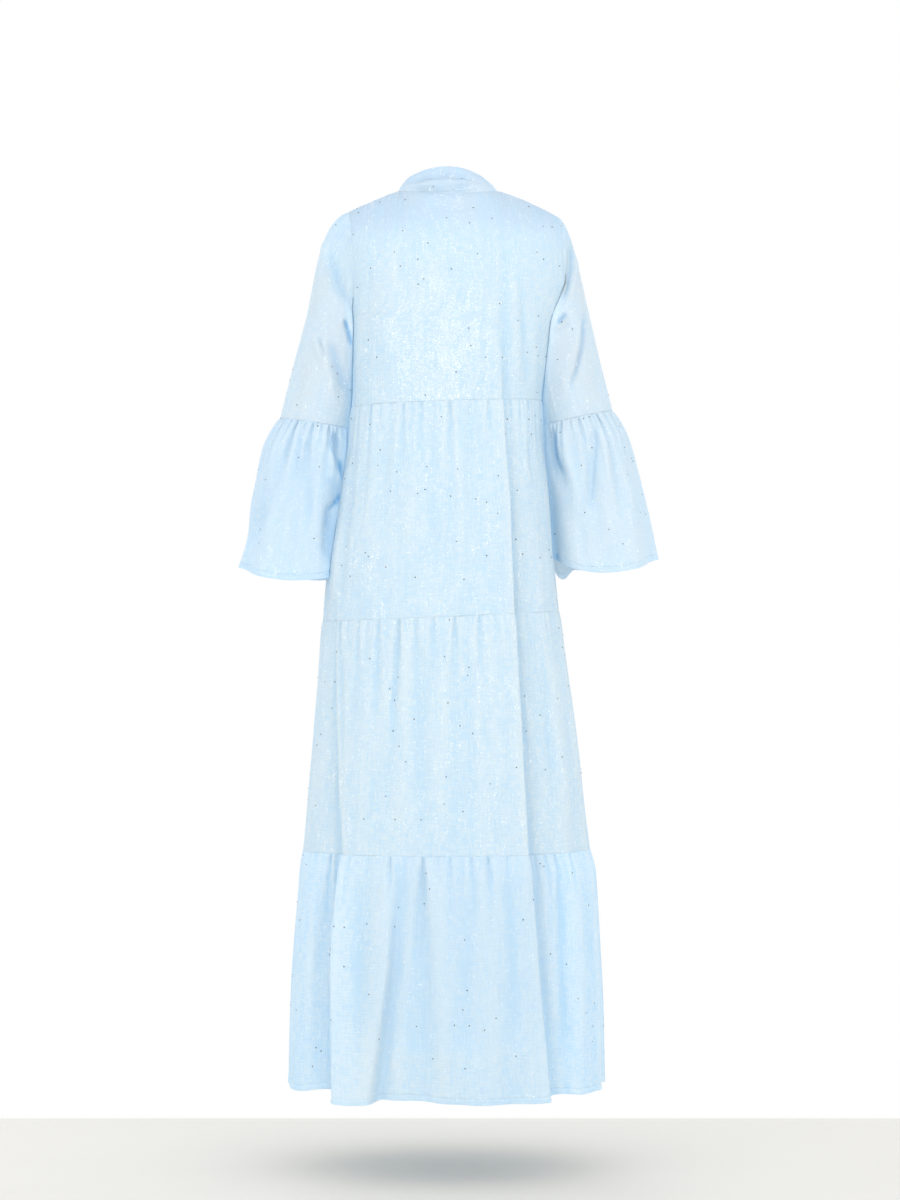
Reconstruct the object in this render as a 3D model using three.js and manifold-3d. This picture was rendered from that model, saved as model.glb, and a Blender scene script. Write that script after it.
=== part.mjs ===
// A loose full-length jalabiya, worn and hollow: a plain bodice with a stand collar, three gathered tiers,
// and long sleeves that end in gathered bell flounces. Every piece is one wall of cloth.
// Millimetres. The origin lies midway between the two points where the shoulder seams meet the collar.
// X points to the wearer's left, Y to the wearer's back, Z up. Angles round the body start at the wearer's
// left side and run over the back: 0 left side, 90 back, 180 right side, 270 front.
import * as THREE from "three";
import { mergeVertices } from "three/addons/utils/BufferGeometryUtils.js";
import Module from "manifold-3d";

// ---- driving dimensions ----
const WALL = 1.6; // the cloth with its slubs and fold-over, as one wall
const SEAM_GAP = 0.3; // between two pieces that are sewn together
const SLEEVE_CLEARANCE = 5; // between a sleeve and the body it hangs against
const CLOTH_COLOUR = 0xd2e8fa;

const TIER_ROWS = [0, 0.14, 0.5, 1]; // shares of the way down a tier
const HEM_TIER_ROWS = [0, 0.1, 0.32, 0.66, 1];
const HALF_COLUMNS = 26; // faces across a front or back panel
const SHOULDER_COLUMNS = 7; // of those, over each shoulder
const CAP_ROWS = 6; // from the shoulder seam down to the chest line
const ARMHOLE_ROWS = 4; // from the chest line down to the underarm
const SIDE_ROWS = 3; // from the underarm down to the first tier
const SLEEVE_COLUMNS = 2 * (CAP_ROWS + ARMHOLE_ROWS);
const SLEEVE_ROWS = [0, 0.07, 0.15, 0.24, 0.34, 0.45, 0.6, 0.8, 1]; // shares of the way down the sleeve
const FLOUNCE_COLUMNS = 2 * SLEEVE_COLUMNS;
const FLOUNCE_ROWS = [0, 0.12, 0.4, 0.78, 1];
const COLLAR_ROWS = 3;
const LINING_ROWS = 2;

// Levels of the seams, each tilted a little from the wearer's right side down to the left.
const CHEST_Z = -150;
const UNDERARM_Z = -205;
const SEAMS = {
  bodice: { level: -340, tilt: -5, frontRise: 0, sideRise: 0, followsFolds: 0 },
  upper: { level: -678, tilt: -8, frontRise: 0, sideRise: 0, followsFolds: 0 },
  middle: { level: -1049, tilt: -1, frontRise: 6, sideRise: 0, followsFolds: 0 },
  hem: { level: -1430, tilt: 0, frontRise: 26, sideRise: 8, followsFolds: 0.5 },
};

// Half widths and depths of the cloth round the body, measured from the plane of the side seams.
const BODY = [
  { z: -150, left: 162, right: 191, back: 94, front: 132, seamPlane: 14 },
  { z: -205, left: 155, right: 176, back: 98, front: 137, seamPlane: 14 },
  { z: -270, left: 153, right: 161, back: 100, front: 135, seamPlane: 14 },
  { z: -340, left: 157, right: 150, back: 101, front: 130, seamPlane: 14 },
  { z: -500, left: 173, right: 163, back: 118, front: 133, seamPlane: 14 },
  { z: -678, left: 199, right: 178, back: 136, front: 142, seamPlane: 12 },
  { z: -870, left: 215, right: 206, back: 150, front: 150, seamPlane: 10 },
  { z: -1049, left: 231, right: 226, back: 163, front: 160, seamPlane: 8 },
  { z: -1090, left: 236, right: 235, back: 168, front: 165, seamPlane: 8 },
  { z: -1250, left: 250, right: 246, back: 177, front: 173, seamPlane: 6 },
  { z: -1428, left: 255, right: 251, back: 184, front: 178, seamPlane: 4 },
];

// Knife folds. The ridge runs from angle `top` at height `from` to angle `end` at height `to`, and is full
// at height `full`. On its `steep` side (+1 towards larger angles) the cloth drops from `proud` to `sunk`
// within `turn` degrees, and dies out over `after`; on the other side it dies out over `before`.
const PLEATS = [
  { name: "right back", top: 118, end: 125, from: -150, to: -400, start: -190, full: -760, proud: 13, sunk: 13,
    before: 24, after: 15, turn: 7, steep: 1 },
  { name: "right lobe", top: 164, end: 160, from: -400, to: -1300, start: -350, full: -1049, proud: 6, sunk: 10,
    before: 15, after: 12, turn: 7, steep: 1 },
  { name: "left back", top: 30, end: 47, from: -678, to: -1049, start: -640, full: -1049, proud: 4, sunk: 6,
    before: 18, after: 14, turn: 7, steep: -1 },
  { name: "left hem lobe, outer", top: 47, end: 46, from: -1049, to: -1428, start: -1049, full: -1270, proud: 11,
    sunk: 9, before: 13, after: 18, turn: 7, steep: -1 },
  { name: "left hem lobe, inner", top: 67, end: 64, from: -1049, to: -1428, start: -1049, full: -1270, proud: 11,
    sunk: 11, before: 13, after: 15, turn: 7, steep: 1 },
  { name: "left front", top: 318, end: 312, from: -300, to: -1428, start: -230, full: -900, proud: 11, sunk: 11,
    before: 20, after: 15, turn: 7, steep: 1 },
  { name: "right front", top: 236, end: 229, from: -300, to: -1428, start: -230, full: -1000, proud: 10, sunk: 12,
    before: 22, after: 14, turn: 7, steep: -1 },
  { name: "front hem lobe", top: 277, end: 281, from: -1049, to: -1428, start: -1040, full: -1300, proud: 12,
    sunk: 9, before: 16, after: 15, turn: 7, steep: 1 },
];

// Soft flutes, ridges where `out` is positive and troughs where it is negative, `width` degrees to each side.
const FLUTES = [
  { angle: 80, out: -7, width: 11, start: -1049, full: -1300 },
  { angle: 103, out: 5, width: 12, start: -700, full: -1300 },
  { angle: 146, out: 5, width: 10, start: -340, full: -900 },
  { angle: 20, out: 5, width: 13, start: -700, full: -1250 },
  { angle: 200, out: 7, width: 14, start: -500, full: -1200 },
  { angle: 258, out: -7, width: 12, start: -700, full: -1250 },
  { angle: 296, out: -5, width: 10, start: -600, full: -1300 },
  { angle: 342, out: 7, width: 13, start: -600, full: -1250 },
];

// Neckline and collar. The collar leans in from the neckline to its top edge.
const NECK = { half: 80, back: 62, front: 80, backDrop: 10, frontDrop: 62 };
const COLLAR_TOP = { half: 65, back: 50, front: 64, side: 21, backRise: 10, frontDrop: 50 };
const NECK_LEAN = 0.88; // of the cut edge where the collar meets the bodice
const NECK_TILT = { back: 35, front: 45 }; // how steeply the bodice leaves the neckline, in degrees
const SHOULDER = { slope: 0.34, droop: 0.0009 };
const FRONT_SLIT = { halfWidth: 7, length: 150 };
const COLLAR_OPENING = 5.5; // degrees to each side of the centre front

// The lining shows only where it ends, above the hem of the lowest tier, so only that length of it is built.
// It is sewn in at the seam above that tier and hangs inside it.
const LINING = { wall: 1.2, below: 3, end: -1365, inset: 40 };

// The armhole on each side: the shoulder tip, how far round from the side seam its edges stand, and how far
// the sleeve cap carries on outwards before it falls.
const SIDES = {
  left: { sign: 1, tip: 160, backAngle: 21, frontAngle: 27, cap: 160 },
  right: { sign: -1, tip: 172, backAngle: 14, frontAngle: 27, cap: 76 },
};

// Rings of each sleeve below its cap, and of each flounce: centre, half width across, half depth, and the
// lift of the outer edge in degrees. `x` and `half` are measured away from the body's middle plane.
const SLEEVES = {
  left: [
    { t: 0.45, x: 176, y: -2, z: -215, half: 53, depth: 66, lift: 20 },
    { t: 0.72, x: 194, y: -5, z: -292, half: 56, depth: 64, lift: 14 },
    { t: 1, x: 210, y: -10, z: -371, half: 60, depth: 62, lift: 8.6 },
  ],
  right: [
    { t: 0.45, x: 176, y: -2, z: -212, half: 53, depth: 66, lift: 20 },
    { t: 0.72, x: 190, y: -5, z: -286, half: 56, depth: 64, lift: 15 },
    { t: 1, x: 206, y: -10, z: -362, half: 59, depth: 62, lift: 12 },
  ],
};
const FLOUNCES = {
  left: [
    { t: 0, x: 210, y: -10, z: -371, half: 60, depth: 62, lift: 8.6 },
    { t: 0.2, x: 221, y: -15, z: -421, half: 76, depth: 74, lift: 9 },
    { t: 0.5, x: 230, y: -22, z: -494, half: 82, depth: 84, lift: 9 },
    { t: 0.8, x: 237, y: -28, z: -573, half: 86, depth: 90, lift: 5 },
    { t: 1, x: 243, y: -32, z: -622, half: 94, depth: 94, lift: 0 },
  ],
  right: [
    { t: 0, x: 206, y: -10, z: -362, half: 59, depth: 62, lift: 12 },
    { t: 0.2, x: 217, y: -15, z: -410, half: 74, depth: 74, lift: 12 },
    { t: 0.5, x: 228, y: -22, z: -484, half: 84, depth: 84, lift: 11 },
    { t: 0.8, x: 238, y: -28, z: -563, half: 92, depth: 90, lift: 5 },
    { t: 1, x: 244, y: -32, z: -610, half: 94, depth: 94, lift: 0 },
  ],
};
// How much higher a flounce's hem hangs at its outer and inner edges, and how far its front half is twisted:
// up on the outer side and down on the inner.
const FLOUNCE_HEMS = {
  left: { outer: 21, inner: 14, twist: 10 },
  right: { outer: 22, inner: 34, twist: 16 },
};
// Flutes round a flounce: 0 outer edge, 90 back, 180 inner edge, 270 front.
const FLOUNCE_FLUTES = [
  { angle: 28, out: -6, width: 22 },
  { angle: 58, out: 6, width: 20 },
  { angle: 84, out: -6, width: 18 },
  { angle: 116, out: 7, width: 20 },
  { angle: 148, out: -7, width: 20 },
  { angle: 205, out: 5, width: 24 },
  { angle: 236, out: -6, width: 18 },
  { angle: 266, out: 7, width: 20 },
  { angle: 298, out: -6, width: 20 },
  { angle: 326, out: 6, width: 18 },
];

// ---- small helpers ----
const rad = (degrees) => (degrees * Math.PI) / 180;
const lerp = THREE.MathUtils.lerp;
const clamp01 = (x) => Math.min(1, Math.max(0, x));
const turnBetween = (a, b) => ((((a - b + 180) % 360) + 360) % 360) - 180;
const bell = (x) => (Math.abs(x) < 1 ? 0.5 * (1 + Math.cos(Math.PI * x)) : 0);
const ease = (x) => clamp01(x) ** 2 * (3 - 2 * clamp01(x));
const grown = (z, start, full) => Math.sin((Math.PI / 2) * clamp01((start - z) / (start - full)));

// The value of one column of a table at a place along it, on a smooth curve through the rows.
function columnAt(rows, along, place, key) {
  const down = rows[0][along] > rows[1][along] ? -1 : 1;
  let i = 1;
  while (i < rows.length - 1 && down * (place - rows[i][along]) > 0) i += 1;
  const [a, b] = [rows[i - 1], rows[i]];
  const before = rows[Math.max(i - 2, 0)];
  const after = rows[Math.min(i + 1, rows.length - 1)];
  const span = b[along] - a[along];
  const slopeA = (b[key] - before[key]) / (b[along] - before[along]);
  const slopeB = (after[key] - a[key]) / (after[along] - a[along]);
  const s = clamp01((place - a[along]) / span);
  return (
    (2 * s ** 3 - 3 * s ** 2 + 1) * a[key] +
    (s ** 3 - 2 * s ** 2 + s) * span * slopeA +
    (3 * s ** 2 - 2 * s ** 3) * b[key] +
    (s ** 3 - s ** 2) * span * slopeB
  );
}

// ---- the body of the dress ----
// How far the folds carry the cloth out from its plain section.
function foldHeight(angle, z) {
  let out = 0;
  for (const pleat of PLEATS) {
    const share = grown(z, pleat.start, pleat.full);
    const ridge = lerp(pleat.top, pleat.end, clamp01((z - pleat.from) / (pleat.to - pleat.from)));
    const away = turnBetween(angle, ridge) * pleat.steep;
    if (away <= 0) out += share * pleat.proud * bell(away / pleat.before);
    else if (away < pleat.turn) out += share * lerp(pleat.proud, -pleat.sunk, ease(away / pleat.turn));
    else out -= share * pleat.sunk * bell((away - pleat.turn) / pleat.after);
  }
  for (const flute of FLUTES) {
    out += grown(z, flute.start, flute.full) * flute.out * bell(turnBetween(angle, flute.angle) / flute.width);
  }
  return out;
}

function sectionAt(z) {
  const value = (key) => columnAt(BODY, "z", z, key);
  return {
    left: value("left"), right: value("right"), back: value("back"), front: value("front"), mid: value("seamPlane"),
  };
}

// A point of the cloth round the body, with `extra` millimetres added outwards.
function bodyPoint(angle, z, extra = 0) {
  const section = sectionAt(z);
  const [c, s] = [Math.cos(rad(angle)), Math.sin(rad(angle))];
  const across = c > 0 ? section.left : section.right;
  const deep = s > 0 ? section.back : section.front;
  const out = new THREE.Vector2(c / across, s / deep).normalize();
  const fold = foldHeight(angle, z) + extra;
  return new THREE.Vector3(across * c + out.x * fold, section.mid + deep * s + out.y * fold, z);
}

// Moves a point out of the body, so that a sleeve lies against it instead of through it.
function clearOfBody(point) {
  const section = sectionAt(point.z);
  const across = point.x > 0 ? section.left : section.right;
  const deep = point.y > section.mid ? section.back : section.front;
  const angle = THREE.MathUtils.radToDeg(Math.atan2((point.y - section.mid) / deep, point.x / across));
  const wall = bodyPoint(angle, point.z, SLEEVE_CLEARANCE);
  const need = Math.hypot(wall.x, wall.y - section.mid);
  const have = Math.hypot(point.x, point.y - section.mid);
  if (have >= need) return point;
  const grow = need / have;
  return new THREE.Vector3(point.x * grow, section.mid + (point.y - section.mid) * grow, point.z);
}

function seamHeight(seam, angle) {
  const front = Math.max(0, -Math.sin(rad(angle)));
  const folds = seam.followsFolds * foldHeight(angle, seam.level);
  const side = Math.cos(rad(angle));
  return seam.level + seam.tilt * side + seam.sideRise * side ** 2 + seam.frontRise * front ** 2 - folds;
}

// ---- the bodice ----
// The top edge of a panel, from the left shoulder tip, along the neckline, to the right shoulder tip.
function bodiceTop(facing, u) {
  const shoulder = SHOULDER_COLUMNS / HALF_COLUMNS;
  const side = u < 0.5 ? SIDES.left : SIDES.right;
  const along = u < 0.5 ? u / shoulder : (1 - u) / shoulder;
  if (along < 1) {
    const x = lerp(side.tip, NECK.half, along);
    const past = x - NECK.half;
    return { point: new THREE.Vector3(side.sign * x, 0, -SHOULDER.slope * past - SHOULDER.droop * past ** 2), tilt: 0 };
  }
  const neckAngle = 180 * ((u - shoulder) / (1 - 2 * shoulder));
  return { point: neckPoint(facing * neckAngle), tilt: NECK_TILT[facing > 0 ? "back" : "front"] * Math.sin(rad(neckAngle)) };
}

function neckPoint(angle) {
  const [c, s] = [Math.cos(rad(angle)), Math.sin(rad(angle))];
  const deep = s > 0 ? NECK.back : NECK.front;
  const drop = s > 0 ? NECK.backDrop * s ** 2 : NECK.frontDrop * Math.abs(s) ** 1.5;
  return new THREE.Vector3(NECK.half * c, deep * s, -drop);
}

// How far round from the side seam the panel's edge stands at the left and the right, at row v.
function edgeAngle(side, facing, v) {
  const full = facing > 0 ? side.backAngle : side.frontAngle;
  if (v <= 1) return full;
  return v < 2 ? full * Math.sqrt(Math.max(0, 1 - (v - 1) ** 2)) : 0;
}

// A point of the front (facing -1) or back (facing +1) panel. u runs from the wearer's left to the right.
// v runs down: 0 top edge, 1 chest line, 2 underarm, 3 seam to the first tier.
function bodicePoint(facing, u, v) {
  const left = edgeAngle(SIDES.left, facing, v);
  const right = edgeAngle(SIDES.right, facing, v);
  const angle = facing * (left + (180 - left - right) * u);
  if (v <= 1) {
    const { point, tilt } = bodiceTop(facing, u);
    const chest = bodyPoint(angle, CHEST_Z);
    const turn = rad(lerp(tilt, 90, v));
    const outwards = (Math.sin(turn) - Math.sin(rad(tilt))) / (1 - Math.sin(rad(tilt)));
    const down = (Math.cos(rad(tilt)) - Math.cos(turn)) / Math.cos(rad(tilt));
    return new THREE.Vector3(
      lerp(point.x, chest.x, outwards), lerp(point.y, chest.y, outwards), lerp(point.z, chest.z, down),
    );
  }
  if (v <= 2) return bodyPoint(angle, lerp(CHEST_Z, UNDERARM_Z, v - 1));
  return bodyPoint(angle, lerp(UNDERARM_Z, seamHeight(SEAMS.bodice, angle), v - 2));
}

// The row at which the armhole's edge passes a place round the sleeve, counted 0 top, 180 underarm.
function armholeRow(around) {
  const row = (Math.min(around, 360 - around) / 180) * (CAP_ROWS + ARMHOLE_ROWS);
  return row <= CAP_ROWS ? row / CAP_ROWS : 1 + (row - CAP_ROWS) / ARMHOLE_ROWS;
}

// ---- sleeves and flounces ----
function ringPoint(table, side, around, t) {
  const value = (key) => columnAt(table, "t", t, key);
  const [c, s] = [Math.cos(rad(around)), Math.sin(rad(around))];
  const half = value("half") * c;
  const lift = rad(value("lift"));
  return new THREE.Vector3(
    side.sign * (value("x") + half * Math.cos(lift)), value("y") + value("depth") * s, value("z") + half * Math.sin(lift),
  );
}

// A point of a sleeve: around 0 outer line, 90 back, 180 inner line; t 0 at the armhole, 1 at the flounce.
function sleevePoint(which, around, t) {
  const side = SIDES[which];
  const table = SLEEVES[which];
  const capEnd = table[0].t;
  if (t >= capEnd) return clearOfBody(ringPoint(table, side, around, t));
  const facing = around <= 180 ? 1 : -1;
  const start = bodicePoint(facing, side.sign > 0 ? 0 : 1, armholeRow(around));
  const end = ringPoint(table, side, around, capEnd);
  const top = 0.5 * (1 + Math.cos(rad(around)));
  const leave = new THREE.Vector3(side.sign * lerp(30, side.cap, top), 0, lerp(-30, -42, top));
  const arrive = new THREE.Vector3(side.sign * lerp(10, 27, top), 0, lerp(-60, -107, top));
  const s = t / capEnd;
  const point = start.clone().multiplyScalar(2 * s ** 3 - 3 * s ** 2 + 1)
    .addScaledVector(leave, s ** 3 - 2 * s ** 2 + s)
    .addScaledVector(end, 3 * s ** 2 - 2 * s ** 3)
    .addScaledVector(arrive, s ** 3 - s ** 2);
  const clear = clearOfBody(point);
  return point.clone().lerp(clear, ease((-60 - point.z) / 90));
}

function flouncePoint(which, around, t) {
  const side = SIDES[which];
  const point = ringPoint(FLOUNCES[which], side, around, t);
  const inner = 0.5 * (1 - Math.cos(rad(around)));
  let out = 0;
  for (const flute of FLOUNCE_FLUTES) out += flute.out * bell(turnBetween(around, flute.angle) / flute.width);
  out *= Math.sin((Math.PI / 2) * t) * (1 - 0.5 * inner);
  const [c, s] = [Math.cos(rad(around)), Math.sin(rad(around))];
  const hem = FLOUNCE_HEMS[which];
  const rise = (c > 0 ? hem.outer : hem.inner) * c ** 2 + hem.twist * c * Math.max(0, -s);
  point.add(new THREE.Vector3(side.sign * out * c, out * s, rise * t ** 3));
  return clearOfBody(point);
}

// ---- the collar ----
// A point of the stand collar: angle round the neck, rise 0 at the neckline and 1 at the top edge.
function collarPoint(angle, rise) {
  const base = neckPoint(angle);
  const [c, s] = [Math.cos(rad(angle)), Math.sin(rad(angle))];
  const top = new THREE.Vector3(
    COLLAR_TOP.half * c, (s > 0 ? COLLAR_TOP.back : COLLAR_TOP.front) * s,
    COLLAR_TOP.side + (s > 0 ? COLLAR_TOP.backRise * s ** 2 : -COLLAR_TOP.frontDrop * Math.abs(s) ** 1.5),
  );
  return base.lerp(top, rise);
}

// ---- walls ----
// The outward normal of a surface given by a function of two numbers, at one of its points.
function normalOf(surface, a, b, step = 0.002) {
  const alongA = surface(a + step, b).sub(surface(a - step, b));
  const alongB = surface(a, b + step).sub(surface(a, b - step));
  return alongA.cross(alongB).normalize();
}

// A closed wall of cloth. The grid is rows of { point, normal } on the outer face. A ring closes on itself.
function wall(grid, isRing, thickness = WALL) {
  const positions = [];
  const rows = grid.length;
  const columns = grid[0].length;
  for (const depth of [0, thickness]) {
    for (const row of grid) {
      for (const { point, normal } of row) positions.push(...point.clone().addScaledVector(normal, -depth).toArray());
    }
  }
  const at = (layer, r, c) => (layer * rows + r) * columns + (isRing ? c % columns : c);
  const faces = [];
  const quad = (a, b, c, d) => faces.push(a, b, c, a, c, d);
  const last = isRing ? columns : columns - 1;
  for (let r = 0; r < rows - 1; r += 1) {
    for (let c = 0; c < last; c += 1) {
      quad(at(0, r, c), at(0, r + 1, c), at(0, r + 1, c + 1), at(0, r, c + 1));
      quad(at(1, r, c), at(1, r, c + 1), at(1, r + 1, c + 1), at(1, r + 1, c));
    }
  }
  for (let c = 0; c < last; c += 1) {
    quad(at(0, 0, c), at(0, 0, c + 1), at(1, 0, c + 1), at(1, 0, c));
    quad(at(0, rows - 1, c), at(1, rows - 1, c), at(1, rows - 1, c + 1), at(0, rows - 1, c + 1));
  }
  if (!isRing) {
    for (let r = 0; r < rows - 1; r += 1) {
      quad(at(0, r, 0), at(1, r, 0), at(1, r + 1, 0), at(0, r + 1, 0));
      quad(at(0, r, columns - 1), at(0, r + 1, columns - 1), at(1, r + 1, columns - 1), at(1, r, columns - 1));
    }
  }
  const geometry = new THREE.BufferGeometry();
  geometry.setAttribute("position", new THREE.Float32BufferAttribute(positions, 3));
  geometry.setIndex(faces);
  return geometry;
}

// A point between the corners of a neighbour's facets, so that two pieces meet facet to facet.
function onFacet(at, angle, step, start = 0) {
  const below = start + step * Math.floor((angle - start) / step + 1e-9);
  return at(below).lerp(at(below + step), (angle - below) / step);
}

const flattened = (normal) => new THREE.Vector3(normal.x, normal.y, 0).normalize();
const evenly = (count) => Array.from({ length: count + 1 }, (_, i) => i / count);

// The seam's own direction across the cloth, halfway between the bodice's normal and the sleeve's.
function armholeNormal(which, around) {
  const facing = around <= 180 ? 1 : -1;
  const u = SIDES[which].sign > 0 ? 0 : 1;
  const inset = which === "left" ? 0.02 : -0.02;
  const v = Math.min(armholeRow(around), 1.97);
  const bodice = normalOf((a, b) => bodicePoint(facing, a, b), u + inset, Math.max(v, 0.03)).multiplyScalar(-facing);
  const sleeve = normalOf((a, b) => sleevePoint(which, a * 360, b), around / 360, 0.06, 0.01)
    .multiplyScalar(-SIDES[which].sign);
  const between = bodice.add(sleeve);
  if (around % 180 === 0) between.y = 0;
  return between.normalize();
}

const neckNormal = (angle) => new THREE.Vector3(Math.cos(rad(angle)), Math.sin(rad(angle)), NECK_LEAN).normalize();

function bodicePanel(facing) {
  const rows = [
    ...evenly(CAP_ROWS), ...evenly(ARMHOLE_ROWS).slice(1).map((v) => v + 1), ...evenly(SIDE_ROWS).slice(1).map((v) => v + 2),
  ];
  const columns = evenly(HALF_COLUMNS);
  const grid = rows.map((v) => columns.map((u) => {
    const point = bodicePoint(facing, u, v);
    const inside = THREE.MathUtils.clamp(u, 0.01, 0.99);
    let normal = normalOf((a, b) => bodicePoint(facing, a, b), inside, Math.max(v, 0.01)).multiplyScalar(-facing);
    const isEdge = u === 0 || u === 1;
    const isNeck = v === 0 && Math.abs(point.x) <= NECK.half + 1e-6;
    if (isEdge && v <= 2) {
      const around = (v <= 1 ? v * CAP_ROWS : CAP_ROWS + (v - 1) * ARMHOLE_ROWS) * (180 / (CAP_ROWS + ARMHOLE_ROWS));
      normal = armholeNormal(u === 0 ? "left" : "right", facing > 0 ? around : 360 - around);
    } else if (isNeck) normal = neckNormal((facing * 180 * (u - SHOULDER_COLUMNS / HALF_COLUMNS)) / (1 - 2 * SHOULDER_COLUMNS / HALF_COLUMNS));
    else if (isEdge) normal = new THREE.Vector3(u === 0 ? 1 : -1, 0, 0);
    else if (v === 0) normal = new THREE.Vector3(normal.x, 0, normal.z).normalize();
    if (v === 3) normal = flattened(normal);
    // The shoulder and side seams leave half a gap on each panel.
    if ((v === 0 && Math.abs(point.y) < 1e-6) || (isEdge && v >= 2)) point.y += (facing * SEAM_GAP) / 2;
    return { point, normal };
  }));
  if (facing < 0) grid.forEach((row) => row.reverse());
  return wall(grid, false);
}

function sleevePiece(which) {
  const around = evenly(SLEEVE_COLUMNS).slice(0, -1).map((a) => a * 360);
  const grid = SLEEVE_ROWS.map((t, r) => around.map((a) => {
    const point = sleevePoint(which, a, t);
    let normal = normalOf((p, q) => sleevePoint(which, p * 360, q), a / 360, Math.min(Math.max(t, 0.03), 0.99))
      .multiplyScalar(-SIDES[which].sign);
    if (r === 0) {
      normal = armholeNormal(which, a);
      const along = sleevePoint(which, a + 3, 0).sub(sleevePoint(which, a - 3, 0));
      const ahead = along.cross(normal).normalize();
      if (ahead.dot(sleevePoint(which, a, 0.08).sub(point)) < 0) ahead.negate();
      point.addScaledVector(ahead, 1.5 * SEAM_GAP);
    }
    if (t === 1) normal = ringNormal(SLEEVES[which], which, a, 1);
    return { point, normal };
  }));
  if (which === "right") grid.forEach((row) => row.reverse());
  return wall(grid, true);
}

// Outwards within the plane of a ring, so that two rings that meet have flat edges.
function ringNormal(table, which, around, t) {
  const lift = rad(columnAt(table, "t", t, "lift"));
  const [c, s] = [Math.cos(rad(around)), Math.sin(rad(around))];
  return new THREE.Vector3(SIDES[which].sign * c * Math.cos(lift), s, c * Math.sin(lift)).normalize();
}

function flouncePiece(which) {
  const around = evenly(FLOUNCE_COLUMNS).slice(0, -1).map((a) => a * 360);
  const grid = FLOUNCE_ROWS.map((t, r) => around.map((a) => {
    let point = flouncePoint(which, a, t);
    let normal = normalOf((p, q) => flouncePoint(which, p * 360, q), a / 360, THREE.MathUtils.clamp(t, 0.01, 0.99))
      .multiplyScalar(-SIDES[which].sign);
    if (r === 0) {
      const step = 360 / SLEEVE_COLUMNS;
      point = onFacet((at) => flouncePoint(which, at, 0), a, step);
      normal = onFacet((at) => ringNormal(FLOUNCES[which], which, at, 0), a, step);
      const lift = rad(FLOUNCES[which][0].lift);
      point.add(new THREE.Vector3(SIDES[which].sign * Math.sin(lift), 0, -Math.cos(lift)).multiplyScalar(SEAM_GAP));
    }
    return { point, normal };
  }));
  if (which === "right") grid.forEach((row) => row.reverse());
  return wall(grid, true);
}

function tierPanel(facing, above, below, rows) {
  const grid = rows.map((v) => evenly(HALF_COLUMNS).map((u) => {
    const angle = facing * 180 * u;
    const z = lerp(seamHeight(above, angle) - SEAM_GAP, seamHeight(below, angle), v);
    const point = bodyPoint(angle, z);
    let normal = normalOf((a, b) => bodyPoint(a * 180, b * 100), facing * u, z / 100, 0.004);
    if (v === 0 || v === 1) normal = flattened(normal);
    if (u === 0 || u === 1) {
      point.y += (facing * SEAM_GAP) / 2;
      normal = new THREE.Vector3(u === 0 ? 1 : -1, 0, 0);
    }
    return { point, normal };
  }));
  if (facing < 0) grid.forEach((row) => row.reverse());
  return wall(grid, false);
}

// The collar's columns stand on the bodice's, so that the two meet facet to facet.
function collarPiece() {
  const step = 180 / (HALF_COLUMNS - 2 * SHOULDER_COLUMNS);
  const between = [];
  for (let angle = -90 + step; angle < 270; angle += step) between.push(angle);
  const angles = [-90 + COLLAR_OPENING, ...between, 270 - COLLAR_OPENING];
  const grid = evenly(COLLAR_ROWS).map((rise, r) => angles.map((angle) => {
    const lean = r === 0 ? NECK_LEAN : 0.3;
    const point = onFacet((a) => collarPoint(a, rise), angle, step, -90);
    const outwards = (a) => new THREE.Vector3(Math.cos(rad(a)), Math.sin(rad(a)), lean).normalize();
    const normal = onFacet(outwards, angle, step, -90);
    if (r === 0) point.z += SEAM_GAP * 2.2;
    return { point, normal };
  }));
  return wall(grid.reverse(), false);
}

// ---- the lining ----
function liningPoint(angle, v) {
  const z = lerp(seamHeight(SEAMS.middle, angle) - LINING.below, LINING.end, v);
  const inset = lerp(WALL + SEAM_GAP + 0.3, LINING.inset, v ** 0.8);
  return bodyPoint(angle, z, -foldHeight(angle, z) * v ** 0.5 - inset);
}

function liningPiece() {
  const angles = evenly(2 * HALF_COLUMNS).slice(0, -1).map((share) => 360 * share);
  const grid = evenly(LINING_ROWS).map((v, r) => angles.map((angle) => {
    let normal = normalOf((a, b) => liningPoint(a * 180, b), angle / 180, THREE.MathUtils.clamp(v, 0.01, 0.99), 0.004).negate();
    if (r === 0 || r === LINING_ROWS) normal = flattened(normal);
    return { point: liningPoint(angle, v), normal };
  }));
  return wall(grid, true, LINING.wall);
}

// ---- the slit at the centre front ----
const wasm = await Module();
wasm.setup();

function solidOf(geometry) {
  const bare = new THREE.BufferGeometry().setAttribute("position", geometry.getAttribute("position"));
  bare.setIndex(geometry.index);
  const merged = mergeVertices(bare, 1e-4);
  return new wasm.Manifold(new wasm.Mesh({
    numProp: 3,
    vertProperties: new Float32Array(merged.getAttribute("position").array),
    triVerts: new Uint32Array(merged.index.array),
  }));
}

function geometryOf(solid) {
  const mesh = solid.getMesh();
  const positions = new Float32Array(mesh.numVert * 3);
  for (let i = 0; i < mesh.numVert; i += 1) {
    positions.set(mesh.vertProperties.subarray(i * mesh.numProp, i * mesh.numProp + 3), i * 3);
  }
  const geometry = new THREE.BufferGeometry();
  geometry.setAttribute("position", new THREE.BufferAttribute(positions, 3));
  geometry.setIndex(new THREE.BufferAttribute(mesh.triVerts, 1));
  return geometry;
}

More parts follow.
